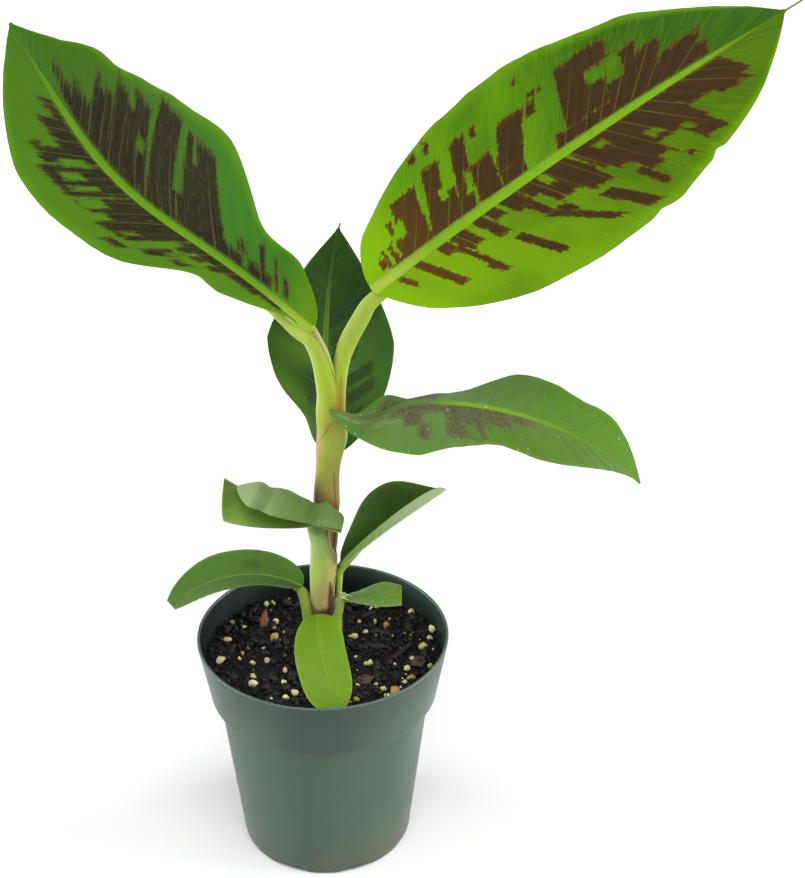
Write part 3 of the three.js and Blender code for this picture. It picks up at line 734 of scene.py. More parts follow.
def bladeBloomSheen(tree, look, color, along, share):
    # a dull grey film over part of the blade, a waxy bloom with painted sheen, broken up by streaks and gone at
    # the margin
    tint, first, last = look["bloomSheen"]
    streak = leafStreaks(tree, 0.1, 0.8, layer=9.0, detail=3.0)
    bloomSheen = calc(tree, "MULTIPLY", spread(tree, along, last, first), spread(tree, streak, 0.4, 0.65))
    bloomSheen = calc(tree, "MULTIPLY", bloomSheen, spread(tree, share, 0.7, 0.3, toLow=0.0, toHigh=0.75))
    return blend(tree, bloomSheen, color, tint)


def bladeBlotches(tree, look, color, vein, distance, along, share, fine, lines):
    # dark where the bias plus a streaky noise plus a ragged noise passes zero, over a soft edge
    streak = leafStreaks(tree, 0.75, 0.13, layer=3.0, detail=3.0, roughness=0.6)
    ragged = noise(tree, combined(tree, vein, distance, 7.0), scale=0.55, detail=4.0, roughness=0.65)
    bias = attribute(tree, "leafBlotch", "Fac")
    value = calc(tree, "ADD", bias, calc(tree, "MULTIPLY_ADD", streak, 2.2, -1.1))
    rough, soft = look.get("ragged", 2.6), look.get("soft", 0.12)
    value = calc(tree, "ADD", value, calc(tree, "MULTIPLY_ADD", ragged, rough, -rough / 2))
    mask = spread(tree, value, -soft, 0.6 * soft, 0.0, look["blotchShare"])
    tone = leafStreaks(tree, 0.5, 0.05, layer=5.0)
    onward = calc(tree, "ADD", along, tone)
    dark = tinted(tree, look["blotch"], look["blotchTip"], onward, low=0.9, high=1.5)
    dark = tinted(tree, dark, scaledBy(look["blotch"], 1.6), tone, low=0.3, high=0.7, most=0.45)
    dark = tinted(tree, dark, scaledBy(look["blotch"], 0.5), fine, low=0.45, high=0.75, most=0.3)
    if "mottle" in look:
        most = look["mottle"]
        spots = noise(tree, combined(tree, vein, distance, 11.0), scale=1.6, detail=3.0, roughness=0.7)
        dark = tinted(tree, dark, scaledBy(look["blotch"], 2.0), spots, low=0.52, high=0.66, most=most)
        dark = tinted(tree, dark, scaledBy(look["blotch"], 0.4), spots, low=0.46, high=0.36, most=most)
    if "blotchFoot" in look:
        above = calc(tree, "MULTIPLY_ADD", tone, 0.3, along)
        dark = tinted(tree, dark, look["blotchFoot"], above, low=0.45, high=0.15)
    if "blotchEdge" in look:
        dark = tinted(tree, look["blotchEdge"], dark, value, low=0.0, high=1.2 * soft + 0.5)
    veinShare = calc(tree, "MULTIPLY", lines, spread(tree, share, 0.1, 0.8, toLow=0.9, toHigh=0.15))
    dark = blend(tree, veinShare, dark, look.get("veinColor", look["left"][0]))
    return blend(tree, mask, color, dark)


def bladeRib(tree, look, color, along, rib, fine, cloud):
    # the pale rib, darker at its edges, which narrows out towards the tip
    ribReach = look.get("ribReach", 1.2)
    ribMask = spread(tree, calc(tree, "MULTIPLY_ADD", fine, 0.2, rib), ribReach, ribReach - 0.4)
    ribFade = spread(tree, along, *look.get("ribFade", (0.75, 1.0)), 1.0, 0.25)
    ribColor = tinted(tree, look["ribColor"], look["right"][0], rib, low=0.55, high=0.85, most=0.35)
    if "foot" in look:
        ribColor = tinted(tree, ribColor, look["ribFoot"], along, low=0.16, high=0.02)
    if "ribDull" in look:
        above = calc(tree, "MULTIPLY_ADD", cloud, 0.1, along)
        ribColor = tinted(tree, ribColor, look["ribDull"], above, low=0.42, high=0.3)
    return blend(tree, calc(tree, "MULTIPLY", ribMask, ribFade), color, ribColor)


def bladeTopSkin(name, leaf, look):
    # the green with its side veins, a film of waxy bloom with painted sheen, the blotches, the rib, a dry tip
    # and water drops, one over the other
    skin, tree, shader = newSkin(name + "Top", specular=0.08, under=0.06)
    vein, distance, along = numbersOf(tree, attribute(tree, "leafPlace"))
    rib, share, side = numbersOf(tree, attribute(tree, "leafShare"))
    fine = leafStreaks(tree, 1.1, 0.1, layer=0.0)
    cloud = leafStreaks(tree, 0.035, 0.03, layer=1.0, detail=1.0)
    color = bladeGreen(tree, look, along, share, side, fine, cloud)
    lines = sideVeins(tree, vein, leaf.get("veinSpacing", bladeDetail["veinSpacing"]), 0.42)
    veinShare = calc(tree, "MULTIPLY", lines, look.get("lines", 0.1))
    color = blend(tree, veinShare, color, scaledBy(look["right"][0], 1.5))
    # waxy bloom with painted sheen
    if "bloomSheen" in look:
        color = bladeBloomSheen(tree, look, color, along, share)
    if "blotch" in look:
        color = bladeBlotches(tree, look, color, vein, distance, along, share, fine, lines)
    color = bladeRib(tree, look, color, along, rib, fine, cloud)
    color = tinted(tree, color, driedColor, along, low=1.0, high=1.01)
    if "drops" in look:
        place = objectPlace(tree)
        drops = dots(tree, place, scale=520.0, outer=0.36, inner=0.24, rare=(0.95, 0.96), uneven=fine)
        color = blend(tree, calc(tree, "MULTIPLY", drops, 0.7), color, look["drops"])
    roughness = spread(tree, fine, 0.3, 0.75, toLow=0.36, toHigh=0.5)
    height = calc(tree, "MULTIPLY_ADD", lines, 0.6, calc(tree, "MULTIPLY", fine, 0.5))
    finishSkin(tree, shader, color, roughness, bump(tree, height, distance=0.25 * mm, strength=0.35))
    return skin


def bladeUnderSkin(name, leaf, look):
    # paler green with fine streaks along the side veins and a pale keel
    skin, tree, shader = newSkin(name + "Under", specular=0.1, under=0.08)
    vein, distance, along = numbersOf(tree, attribute(tree, "leafPlace"))
    rib = numbersOf(tree, attribute(tree, "leafShare"))[0]
    drawnOut = combined(tree, vein, calc(tree, "MULTIPLY", distance, 0.08), 0.0)
    stripes = noise(tree, drawnOut, scale=1.3, detail=2.0)
    pale = look.get("under", (0.21, 0.34, 0.13))
    deep = look.get("underDeep", (0.15, 0.27, 0.08))
    color = tinted(tree, deep, pale, stripes, low=0.35, high=0.7)
    if "underFoot" in look:
        color = blend(tree, spread(tree, along, *look["underReach"]), look["underFoot"], color)
    lines = sideVeins(tree, vein, leaf.get("veinSpacing", bladeDetail["veinSpacing"]), 0.5)
    veinShare = calc(tree, "MULTIPLY", lines, look.get("underLines", look.get("lines", 0.15)))
    color = blend(tree, veinShare, color, scaledBy(pale, 1.3))
    keelColor = tinted(tree, scaledBy(pale, 1.35), keelFoot, along, low=0.25, high=0.02)
    color = tinted(tree, color, keelColor, rib, low=1.2, high=0.95)
    height = calc(tree, "ADD", stripes, calc(tree, "MULTIPLY", lines, 0.5))
    roughness = spread(tree, stripes, 0.3, 0.75, toLow=0.45, toHigh=0.6)
    finishSkin(tree, shader, color, roughness, bump(tree, height, distance=0.2 * mm, strength=0.35))
    return skin


for leafName, leafShape in leaves.items():
    leafLook = bladeLooks[leafName]
    topSkin = bladeTopSkin(leafName, leafShape, leafLook)
    underSkin = bladeUnderSkin(leafName, leafShape, leafLook)
    buildLeaf(leafName, leafShape, topSkin, underSkin)
print("leaves built:", len(leaves))


# stem, sheaths and stalks
# Stations are x, y, z, half width and half depth. reaches goes on beneath the midrib of a blade: the
# distance along it, half width and half depth. channel is the hollow along the inner face of a stalk: its
# direction round the limb, its depth and its width. seams are the free margins of sheaths that cross the
# limb: from height, to height, from angle, to angle, with the front at 270 degrees and the right at 360.
# pink, purple, pale and rust are stains: angle, height, spread round the limb, spread in height, and
# strength. The pale spot on the fork's margin is a painted highlight, not a stain.
# The margins and strands are thin dry edges of sheaths that lie on the stem, with no node of their own.
limbs = {
    "mainStem": dict(
        node="stem", steps=190, seed=11,
        stations=[
            (-0.4, 0, 91.5, 5.6, 5.6), (-0.2, 0, 99, 4.3, 4.3), (0.2, 0, 118, 4.2, 4.2),
            (1.4, 0.5, 140, 4.6, 4.7), (1.9, 0.7, 150, 4.9, 4.9), (2.5, 0.3, 163, 5.3, 5.4),
            (2.9, 0, 174, 5.2, 5.4), (3.6, 0, 184, 4.95, 5.2), (4.6, 0, 193, 5.6, 5.6),
            (5.7, 0, 200.5, 6.2, 5.8), (5.2, 0, 207, 5.7, 5.5), (5.2, 0, 213, 5.3, 5.2),
            (5.2, 0.6, 219, 3.8, 4.2)],
        seams=[(200.8, 209.4, 222, 278), (166, 186, 322, 300), (148, 158.5, 315, 318)],
        pink=[
            (188, 205, 26, 15, 0.8), (200, 197, 30, 5, 0.9), (184, 184, 24, 14, 0.5),
            (325, 175, 30, 14, 0.7), (330, 153, 40, 10, 1.0), (350, 194, 22, 6, 0.5)],
        purple=[
            (205, 171, 40, 8, 0.9), (268, 166, 60, 4, 0.6), (235, 178, 30, 8, 0.3), (318, 154, 12, 6, 0.9)],
        rust=[(285, 168, 30, 4, 0.9), (258, 207, 25, 4, 0.5), (316, 211, 22, 5, 1.1), (292, 154, 12, 8, 0.5)],
        pale=[(352, 186, 22, 14, 0.5), (345, 205, 18, 8, 0.7), (190, 214, 20, 12, 0.5)]),
    "lowLeftSheath": dict(
        node="low_left_sheath", steps=110, seed=12,
        stations=[
            (-0.2, 0, 99.5, 5.0, 5.2), (0, 0, 112, 5.0, 5.2), (0, 0, 123, 5.0, 5.3),
            (0.55, 0, 135, 5.45, 5.5), (1.1, 0, 141, 5.7, 5.7), (0.7, 0, 146, 5.2, 5.8),
            (0.3, -0.3, 150, 4.8, 6.1), (-0.7, -0.6, 157, 4.9, 6.2), (-1.0, -0.6, 160, 4.5, 5.4)],
        seams=[(119, 134, 306, 345)],
        pink=[
            (262, 127, 30, 5, 0.5), (300, 122, 25, 8, 0.7), (318, 140, 22, 14, 0.7), (232, 143, 14, 6, 0.45),
            (284, 134, 9, 9, 0.4)],
        purple=[
            (318, 123, 16, 6, 0.9), (205, 118.5, 16, 2.5, 0.9), (345, 131, 14, 8, 0.4),
            (280, 116.5, 60, 2.2, 1.0)],
        pale=[(190, 138, 24, 26, 0.6), (262, 136, 16, 6, 0.35), (250, 151, 18, 4, 0.3)]),
    "sheathMargin": dict(
        steps=60, seed=13,
        stations=[
            (3.6, -5.0, 158.5, 0.3, 0.3), (3.7, -5.1, 153.5, 0.4, 0.35), (4.1, -4.8, 149.8, 0.5, 0.35),
            (5.2, -3.7, 147, 0.45, 0.3), (6.2, -2.3, 143.6, 0.4, 0.3), (6.5, -1.5, 139.7, 0.35, 0.25),
            (6.0, -1.2, 135, 0.2, 0.2)],
        pink=[(270, 146, 200, 20, 0.6)], pale=[(270, 146, 200, 20, 0.5)]),
    "forkMargin": dict(
        steps=60, seed=22,
        stations=[
            (-1.0, 1.2, 249, 0.3, 0.4), (0.0, 0.9, 246.6, 0.9, 0.5), (1.4, 0.3, 243, 1.3, 0.6),
            (3.4, -0.9, 238.8, 1.4, 0.6), (5.0, -2.1, 235, 1.1, 0.5), (6.3, -3.0, 231.8, 0.7, 0.4),
            (7.4, -3.6, 229, 0.2, 0.25)],
        pink=[(320, 243, 60, 7, 1.5), (0, 237, 50, 6, 0.9)],
        # the pale spot at the upper left is a painted highlight
        purple=[(330, 244, 30, 2.5, 0.5)], pale=[(215, 241, 35, 9, 1.2)]),
    "deadMargin": dict(
        steps=50, seed=23,
        stations=[
            (3.9, -4.4, 132, 0.2, 0.3), (4.2, -4.3, 127.5, 0.7, 0.5), (4.2, -4.3, 122, 1.1, 0.6),
            (4.1, -4.2, 117.5, 1.1, 0.6), (3.8, -4.0, 114, 0.5, 0.4)],
        purple=[(270, 122, 200, 12, 1.3)]),
    "upperLeftStalk": dict(
        node="upper_left_stalk", steps=110, seed=14, channel=(20, 1.4, 50),
        stations=[
            (4.2, 0.5, 203, 4.6, 4.7), (4.5, 0.1, 211, 5.2, 5.4), (5.0, -0.2, 219, 5.2, 5.5),
            (3.7, 0, 228, 4.7, 5.0), (1.6, 1, 235.5, 4.0, 4.3), (-1.8, 2.6, 242.2, 3.6, 3.5)],
        blade="upperLeftLeaf",
        reaches=[(6, 3.5, 3.0), (14, 3.3, 2.7), (24, 3.0, 2.4), (36, 2.3, 1.9), (50, 1.2, 1.0)],
        pink=[(188, 207, 22, 6, 0.6)],
        rust=[(322, 219, 18, 7, 1.0), (300, 214, 20, 4, 0.6), (258, 207, 25, 4, 0.5)],
        pale=[(192, 230, 22, 22, 0.85), (200, 248, 24, 12, 0.8)]),
    "upperRightStalk": dict(
        node="upper_right_stalk", steps=110, seed=15, channel=(150, 1.2, 45),
        stations=[
            (7.2, 0.8, 203, 3.4, 4.2), (8.0, 0.5, 213, 3.2, 4.5), (8.3, 0.4, 222, 3.2, 4.4),
            (9.7, 1.2, 233, 3.5, 4.2), (12.6, 2.4, 242, 4.0, 3.8), (17.4, 4.0, 251, 3.9, 3.3),
            (20.9, 5.0, 257, 3.5, 2.9)],
        blade="upperRightLeaf", reaches=[(3, 3.3, 2.6), (10, 2.8, 2.2), (20, 2.2, 1.8), (34, 1.2, 1.0)],
        pink=[(352, 214, 16, 5, 0.5), (200, 224, 20, 5, 0.4)],
        rust=[(298, 217, 26, 7, 1.1), (306, 210, 28, 6, 1.1), (290, 226, 14, 4, 0.6)],
        purple=[(320, 224, 14, 3, 0.3)], pale=[(350, 236, 16, 24, 0.8), (195, 250, 20, 14, 0.7)]),
    "backStalk": dict(
        node="back_stalk", steps=50, seed=16, channel=(90, 0.8, 50),
        stations=[
            (2.2, 4.4, 158, 2.4, 2), (2.5, 6.6, 167, 2.4, 2), (2.8, 8.6, 174, 2.3, 2),
            (3.3, 10.4, 181, 2, 1.8)],
        blade="backLeaf", reaches=[(4, 1.6, 1.4), (12, 0.9, 0.8)]),
    "lowRightStalk": dict(
        node="low_right_stalk", steps=60, seed=17, channel=(140, 0.7, 50),
        stations=[
            (5.2, 2.0, 93, 2.3, 2.3), (5.9, 2.2, 103, 2.1, 2.2), (6.7, 2.4, 114, 1.6, 2.0),
            (7.0, 2.7, 123, 1.3, 1.8), (7.3, 3, 129, 1.45, 1.8), (7.7, 3.3, 132.6, 1.6, 1.7)],
        blade="lowRightLeaf", reaches=[(3, 1.3, 1.2), (9, 0.8, 0.7)],
        pink=[(230, 122, 30, 12, 0.4)], purple=[(200, 118, 20, 4, 0.3)], pale=[(340, 128, 40, 14, 0.6)]),
    "driedStrand": dict(
        steps=40, seed=24,
        stations=[
            (6.8, -3.4, 127, 0.12, 0.12), (8.4, -3.4, 125.6, 0.22, 0.2), (10.4, -3.0, 124.6, 0.22, 0.2),
            (12.6, -2.2, 123, 0.12, 0.12)],
        pale=[(180, 125, 400, 20, 1.3)]),
    "driedStrandBelow": dict(
        steps=40, seed=25,
        stations=[
            (7.4, -3.6, 124.4, 0.12, 0.12), (9.2, -3.4, 123, 0.25, 0.2), (11.2, -2.8, 121.6, 0.12, 0.12)],
        pale=[(180, 123, 400, 20, 1.0)]),
    "baseRightStalk": dict(
        node="base_right_stalk", steps=50, seed=18, channel=(60, 0.6, 50),
        stations=[
            (4.6, -3.2, 91.3, 3.6, 3.0), (4.6, -3.4, 103, 3.4, 2.8), (4.8, -3.2, 110, 3.2, 2.6),
            (6.2, -2.0, 115.5, 2.8, 2.2), (7.8, 0.6, 119.5, 2.3, 1.8)],
        blade="baseRightLeaf", reaches=[(2.5, 1.1, 1.0), (7, 0.6, 0.6)],
        purple=[(230, 100, 30, 3, 0.4)], pale=[(200, 116, 60, 5, 0.5)]),
    "baseLeftStalk": dict(
        node="base_left_stalk", steps=50, seed=19, channel=(120, 0.6, 50),
        stations=[
            (-3.6, -2.4, 91.3, 3.4, 3.0), (-4.6, -2.4, 101, 3.0, 2.6), (-5.7, -1.8, 111, 2.6, 2.4),
            (-6.9, -0.6, 118, 2.5, 2.1), (-8.3, 1.2, 122.5, 2.4, 1.8)],
        blade="baseLeftLeaf", reaches=[(3, 1.6, 1.3), (12, 1.0, 0.9)],
        purple=[(340, 112, 20, 6, 0.3)], pale=[(190, 112, 30, 10, 0.5)]),
    "frontStalk": dict(
        node="front_stalk", steps=50, seed=20,
        stations=[(-0.4, -4.6, 91.3, 2.6, 2.2), (-0.8, -7.0, 106, 2.2, 1.8), (-1, -6.8, 113, 2.0, 1.6)],
        blade="frontLeaf", reaches=[(2, 1.4, 1.0), (8, 0.8, 0.7)]),
}
# A seam's step rises over seamRise degrees and falls again over seamFall. It grows in over seamStart and dies
# out over seamEnd, shares of its height. Ribs and lumps are whole from a half width of ribsWhole and lumpsWhole.
# The ends are rounded by rings that lie capShares of the way out along caps of capLength half widths, with a
# pole beyond them.
limbDetail = dict(
    sides=64, seamStep=0.28, seamWidth=3.8, seamRise=(-2, 2), seamFall=(70, 30), seamStart=(-0.05, 0.1),
    seamEnd=(1.05, 0.9), channelFrom=(0.1, 0.5), ribs=22, ribHeight=0.03, ribsWhole=2,
    lumps=0.1, lumpLength=9, lumpsWhole=3, lumpAround=4, lumpUpright=2.5,
    capShares=(0.45, 0.85), capLength=0.35, poleLength=0.05, mostStain=1.3)


def underRib(leaf, reaches):
    # stations beneath the midrib of a blade: places along it, each sunk by the half depth of the limb there
    reach, wide, deep = np.array(reaches, float).T
    t = np.linspace(0, 1, 400)
    centre, _, normal = midrib(leaf, t)
    at = (reach / leaf["length"] * (len(t) - 1)).astype(int)
    hollow = bladeDetail["channel"] * (leaf["ribWide"] + bladeDetail["ribAdded"])
    places = centre[at] - (deep + hollow)[:, None] * normal[at]
    return np.column_stack([places, wide, deep]).tolist()


def stainShare(stains, angle, height):
    # the sum of the soft spots, each a bell round the limb times a bell in height
    total = np.zeros(height.shape)
    for middle, level, across, upright, strength in stains:
        total += strength * bell(angleFrom(angle, middle), 0, across) * bell(height, level, upright)
    return np.minimum(total, limbDetail["mostStain"])


def limbRelief(limb, stations, angle, height):
    # how far the surface stands out: a step beside each seam, less the channel, plus fine ribs round the limb
    # and slow waves, and how much of a seam's dark line lies on each point
    detail = limbDetail
    turn = np.radians(angle)
    wide = stations[:, 3:4]
    relief = np.zeros(height.shape)
    seam = np.zeros(height.shape)
    for low, high, first, last in limb.get("seams", []):
        share = (height - low) / (high - low)
        off = angleFrom(angle, first + (last - first) * np.clip(share, 0, 1))
        inside = smoothStep(*detail["seamStart"], share) * smoothStep(*detail["seamEnd"], share)
        step = smoothStep(*detail["seamRise"], off) * smoothStep(*detail["seamFall"], off)
        relief += detail["seamStep"] * inside * step
        seam = np.maximum(seam, inside * bell(off, 0, detail["seamWidth"]))
    if "channel" in limb:
        middle, depth, width = limb["channel"]
        grows = smoothStep(*detail["channelFrom"], np.linspace(0, 1, len(stations)))[:, None]
        relief -= depth * bell(angleFrom(angle, middle), 0, width) * grows
    ribs = detail["ribHeight"] * np.cos(detail["ribs"] * turn)
    relief += ribs * np.minimum(1, wide / detail["ribsWhole"])
    circle = detail["lumpAround"] * np.stack([np.cos(turn), np.sin(turn)], -1)
    upright = height[..., None] / detail["lumpUpright"]
    cylinder = np.concatenate([np.broadcast_to(circle, (*height.shape, 2)), upright], -1)
    lumps = waves(cylinder, detail["lumpLength"], limb["seed"])
    return relief + detail["lumps"] * lumps * np.minimum(1, wide / detail["lumpsWhole"]), seam


def buildLimb(name, limb, skin):
    # rings of an oval round a smooth curve, its half width and half depth plus the relief, closed by a
    # rounded cap at each end: rings that shrink by the square root of 1 - share squared
    detail = limbDetail
    beneath = underRib(leaves[limb["blade"]], limb["reaches"]) if "blade" in limb else []
    stations = throughStations(limb["stations"] + beneath, limb["steps"])
    centre = stations[:, :3]
    along = unit(np.gradient(centre, axis=0))
    across = unit(np.cross([0.0, 1.0, 0.0], along))
    deep = np.cross(along, across)
    angle = np.linspace(0, 360, detail["sides"], endpoint=False)
    turn = np.radians(angle)
    height = np.broadcast_to(centre[:, 2:3], (limb["steps"], detail["sides"]))
    relief, seam = limbRelief(limb, stations, angle, height)
    sideways = ((stations[:, 3:4] + relief) * np.cos(turn))[..., None] * across[:, None]
    inwards = ((stations[:, 4:5] + relief) * np.sin(turn))[..., None] * deep[:, None]
    rings = centre[:, None] + sideways + inwards
    caps = []
    for end, sign in ((0, -1), (-1, 1)):
        for share in detail["capShares"]:
            shrunk = np.sqrt(1 - share**2) * (rings[end] - centre[end])
            outward = sign * share * detail["capLength"] * stations[end, 3] * along[end]
            caps.append(centre[end] + shrunk + outward)
    rings = np.concatenate([[caps[1], caps[0]], rings, [caps[2], caps[3]]])
    points, faces = solidFromRings(rings)
    points[-2:] += np.array([[-1.0], [1.0]]) * detail["poleLength"] * along[[0, -1]]

    def forPoints(values):
        # the values of the rings repeated for the rings of the caps and for the poles
        padded = np.pad(values, ((2, 2), (0, 0), (0, 0)), mode="edge").reshape(-1, values.shape[-1])
        return np.vstack([padded, padded[[0, -1]]])

    pink, purple, pale, rust = (
        stainShare(limb.get(key, []), angle, height) for key in ("pink", "purple", "pale", "rust"))
    marks = forPoints(np.stack([seam, rust], -1))
    rows, sides = rings.shape[:2]
    flat = np.stack([np.tile(angle / 360, rows), np.linspace(0, 1, rows).repeat(sides)], -1)
    places = {
        "limbSeam": marks[:, 0], "limbRust": marks[:, 1],
        "limbStain": forPoints(np.stack([pink, purple, pale], -1))}
    newPiece(name, points, faces, [skin], [limb["node"]] if "node" in limb else (), places=places,
             maps=np.concatenate([flat, flat[[0, -1]]]))


# Colours by height, from the soil up.
limbLooks = {
    "mainStem": [
        (91, (0.2, 0.24, 0.05)), (140, (0.26, 0.18, 0.12)), (156, (0.26, 0.17, 0.11)),
        (166, (0.26, 0.16, 0.06)),
        (172, (0.36, 0.24, 0.06)), (180, (0.3, 0.3, 0.05)), (200, (0.29, 0.38, 0.045)),
        (222, (0.33, 0.42, 0.034))],
    "lowLeftSheath": [
        (99, (0.08, 0.035, 0.03)), (115, (0.12, 0.05, 0.035)), (119, (0.38, 0.31, 0.13)),
        (127, (0.36, 0.4, 0.09)),
        # the colour at 154 is painted light, lifted over the shade of the hood above it
        (139, (0.33, 0.47, 0.075)), (148, (0.32, 0.47, 0.11)), (154, (0.28, 0.45, 0.14)),
        (158, (0.14, 0.22, 0.07))],
    "stalk": [
        (91, (0.24, 0.32, 0.04)), (130, (0.28, 0.4, 0.06)), (200, (0.28, 0.37, 0.045)),
        (215, (0.32, 0.41, 0.036)),
        (230, (0.31, 0.44, 0.028)), (248, (0.32, 0.42, 0.055)), (262, (0.32, 0.45, 0.045))],
}
# pale is the tone of dry tissue, and on the fork's margin a painted highlight
limbTints = dict(
    pink=(0.42, 0.27, 0.14), purple=(0.1, 0.05, 0.045), pale=(0.55, 0.6, 0.33), seam=(0.12, 0.08, 0.025),
    rust=(0.3, 0.16, 0.025), fibre=(0.42, 0.46, 0.16), pinhole=(0.05, 0.04, 0.02))


def heightRamp(tree, colors, z, uneven):
    # a colour for each height, in a straight line between the heights of the list, which noise moves up and
    # down
    low, high = colors[0][0], colors[-1][0]
    ramp = tree.nodes.new("ShaderNodeValToRGB")
    elements = ramp.color_ramp.elements
    while len(elements) < len(colors):
        elements.new(0.5)
    for element, (height, color) in zip(elements, colors):
        element.position = (height - low) / (high - low)
        element.color = (*color, 1)
    moved = calc(tree, "ADD", z, calc(tree, "MULTIPLY_ADD", uneven, 6 * mm, -3 * mm))
    feed(tree, ramp.inputs[0], spread(tree, moved, low * mm, high * mm, kind="LINEAR"))
    return ramp.outputs[0]


def limbSkin(name, colors):
    # the ramp of height with long fibres, soft stains whose edges noise breaks up (the pale one on the fork's
    # margin a painted highlight), rust, seam lines and pinholes
    skin, tree, shader = newSkin(name + "Skin", specular=0.12, under=0.08)
    place = objectPlace(tree)
    z = numbersOf(tree, place)[2]
    color = heightRamp(tree, colors, z, noise(tree, place, scale=160.0, detail=2.0))
    fibres = noise(tree, stretched(tree, place, (2200.0, 2200.0, 70.0)), scale=1.0, detail=2.0)
    broad = noise(tree, stretched(tree, place, (420.0, 420.0, 60.0)), scale=1.0, detail=3.0)
    color = tinted(tree, color, limbTints["fibre"], fibres, low=0.4, high=0.75, most=0.16)
    color = tinted(tree, color, scaledBy(colors[-2][1], 0.75), broad, low=0.35, high=0.75, most=0.3)
    pink, purple, pale = numbersOf(tree, attribute(tree, "limbStain"))
    uneven = calc(tree, "MULTIPLY_ADD", broad, 0.7, calc(tree, "MULTIPLY_ADD", fibres, 0.4, -0.5))
    for amount, tint, most in ((pale, "pale", 0.7), (pink, "pink", 0.85), (purple, "purple", 0.95)):
        broken = calc(tree, "MULTIPLY", uneven, spread(tree, amount, 0.0, 0.3))
        stain = calc(tree, "ADD", amount, broken)
        color = tinted(tree, color, limbTints[tint], stain, low=0.05, high=1.0, most=most)
    patchy = spread(tree, broad, 0.2, 0.6, toLow=0.5, toHigh=1.0)
    rust = calc(tree, "MULTIPLY", attribute(tree, "limbRust", "Fac"), patchy)
    color = blend(tree, calc(tree, "MINIMUM", rust, 0.9), color, limbTints["rust"])
    seamShare = calc(tree, "MULTIPLY", attribute(tree, "limbSeam", "Fac"), 0.85)
    color = blend(tree, seamShare, color, limbTints["seam"])
    pinholes = dots(tree, place, scale=520.0, outer=0.2, inner=0.1, rare=(0.93, 0.94))
    color = blend(tree, calc(tree, "MULTIPLY", pinholes, 0.7), color, limbTints["pinhole"])
    height = calc(tree, "MULTIPLY_ADD", fibres, 0.6, calc(tree, "MULTIPLY", broad, 0.4))
    roughness = spread(tree, broad, 0.3, 0.7, toLow=0.38, toHigh=0.52)
    finishSkin(tree, shader, color, roughness, bump(tree, height, distance=0.2 * mm, strength=0.3))
    return skin


for limbName, limbShape in limbs.items():
    buildLimb(limbName, limbShape, limbSkin(limbName, limbLooks.get(limbName, limbLooks["stalk"])))
print("stem and stalks built:", len(limbs))


# pot
potShape = dict(
    height=103, rimRadius=54, bandHeight=28, bandFootRadius=49, bodyTopRadius=45.8, footRadius=37,
    wall=1.3, floor=2, footRounding=1.4, stepRounding=0.5, bandFootRounding=0.7, lipRounding=0.6,
    innerRounding=1.0, drains=8, drainWidth=13, drainInner=30, notchHeight=1.6, notchEdge=(1.12, 0.94),
    innerStep=(1.5, 2), bodyStart=2, bandStart=1, floorRadii=(0, 8, 16, 24), sides=256,
    holeRings=6, cornerRings=6, stepRings=4, bodyRings=26, bandRings=12, innerRings=10)


def roundedCorner(before, corner, after, radius, steps=5):
    # an arc through a corner of a profile: a quadratic curve between the points a radius away along each side
    before, corner, after = (np.array(p, float) for p in (before, corner, after))
    first = corner + unit(before - corner) * radius
    last = corner + unit(after - corner) * radius
    s = np.linspace(0, 1, steps)[:, None]
    return (1 - s) ** 2 * first + 2 * s * (1 - s) * corner + s**2 * last


def betweenPoints(first, last, steps):
    # points at even steps on the straight line between two others
    return np.linspace(first, last, steps + 2)[1:-1]


def potProfile(pot):
    # radius and height from the middle of the underside, up the body and the band, over the lip and down the
    # inside to the middle of the floor
    bandFootHeight = pot["height"] - pot["bandHeight"]
    bodySlope = (pot["bodyTopRadius"] - pot["footRadius"]) / bandFootHeight
    bandSlope = (pot["rimRadius"] - pot["bandFootRadius"]) / pot["bandHeight"]
    wall, floor = pot["wall"], pot["floor"]
    foot = (pot["footRadius"], 0)
    bodyTop = (pot["bodyTopRadius"], bandFootHeight)
    bandFoot = (pot["bandFootRadius"], bandFootHeight)
    rim = (pot["rimRadius"], pot["height"])
    rimInner = (pot["rimRadius"] - wall, pot["height"])
    below, above = pot["innerStep"]
    bandInner = (pot["bandFootRadius"] - wall + above * bandSlope, bandFootHeight + above)
    bodyInner = (pot["bodyTopRadius"] - wall, bandFootHeight - below)
    footInner = (pot["footRadius"] + bodySlope * floor - wall, floor)
    holeOuter = pot["footRadius"] - wall
    radii = [*pot["floorRadii"], *np.linspace(pot["drainInner"], holeOuter, pot["holeRings"])]
    bodyStart = (foot[0] + pot["bodyStart"] * bodySlope, pot["bodyStart"])
    bandStart = (bandFoot[0] + pot["bandStart"] * bandSlope, bandFootHeight + pot["bandStart"])
    lip, corner = pot["lipRounding"], pot["cornerRings"]
    return np.concatenate([
        [[r, 0] for r in radii],
        roundedCorner((holeOuter, 0), foot, bodyTop, pot["footRounding"], corner),
        betweenPoints(bodyStart, bodyTop, pot["bodyRings"]),
        roundedCorner(foot, bodyTop, bandFoot, pot["stepRounding"], pot["stepRings"]),
        roundedCorner(bodyTop, bandFoot, rim, pot["bandFootRounding"]),
        betweenPoints(bandStart, rim, pot["bandRings"]),
        roundedCorner(bandFoot, rim, rimInner, lip, corner),
        roundedCorner(rim, rimInner, bandInner, lip, corner),
        betweenPoints(rimInner, bandInner, pot["bandRings"]),
        roundedCorner(rimInner, bandInner, bodyInner, pot["innerRounding"]),
        roundedCorner(bandInner, bodyInner, footInner, pot["innerRounding"]),
        betweenPoints(bodyInner, footInner, pot["innerRings"]),
        [footInner],
        [[r, floor] for r in radii[::-1]]]).astype(float)


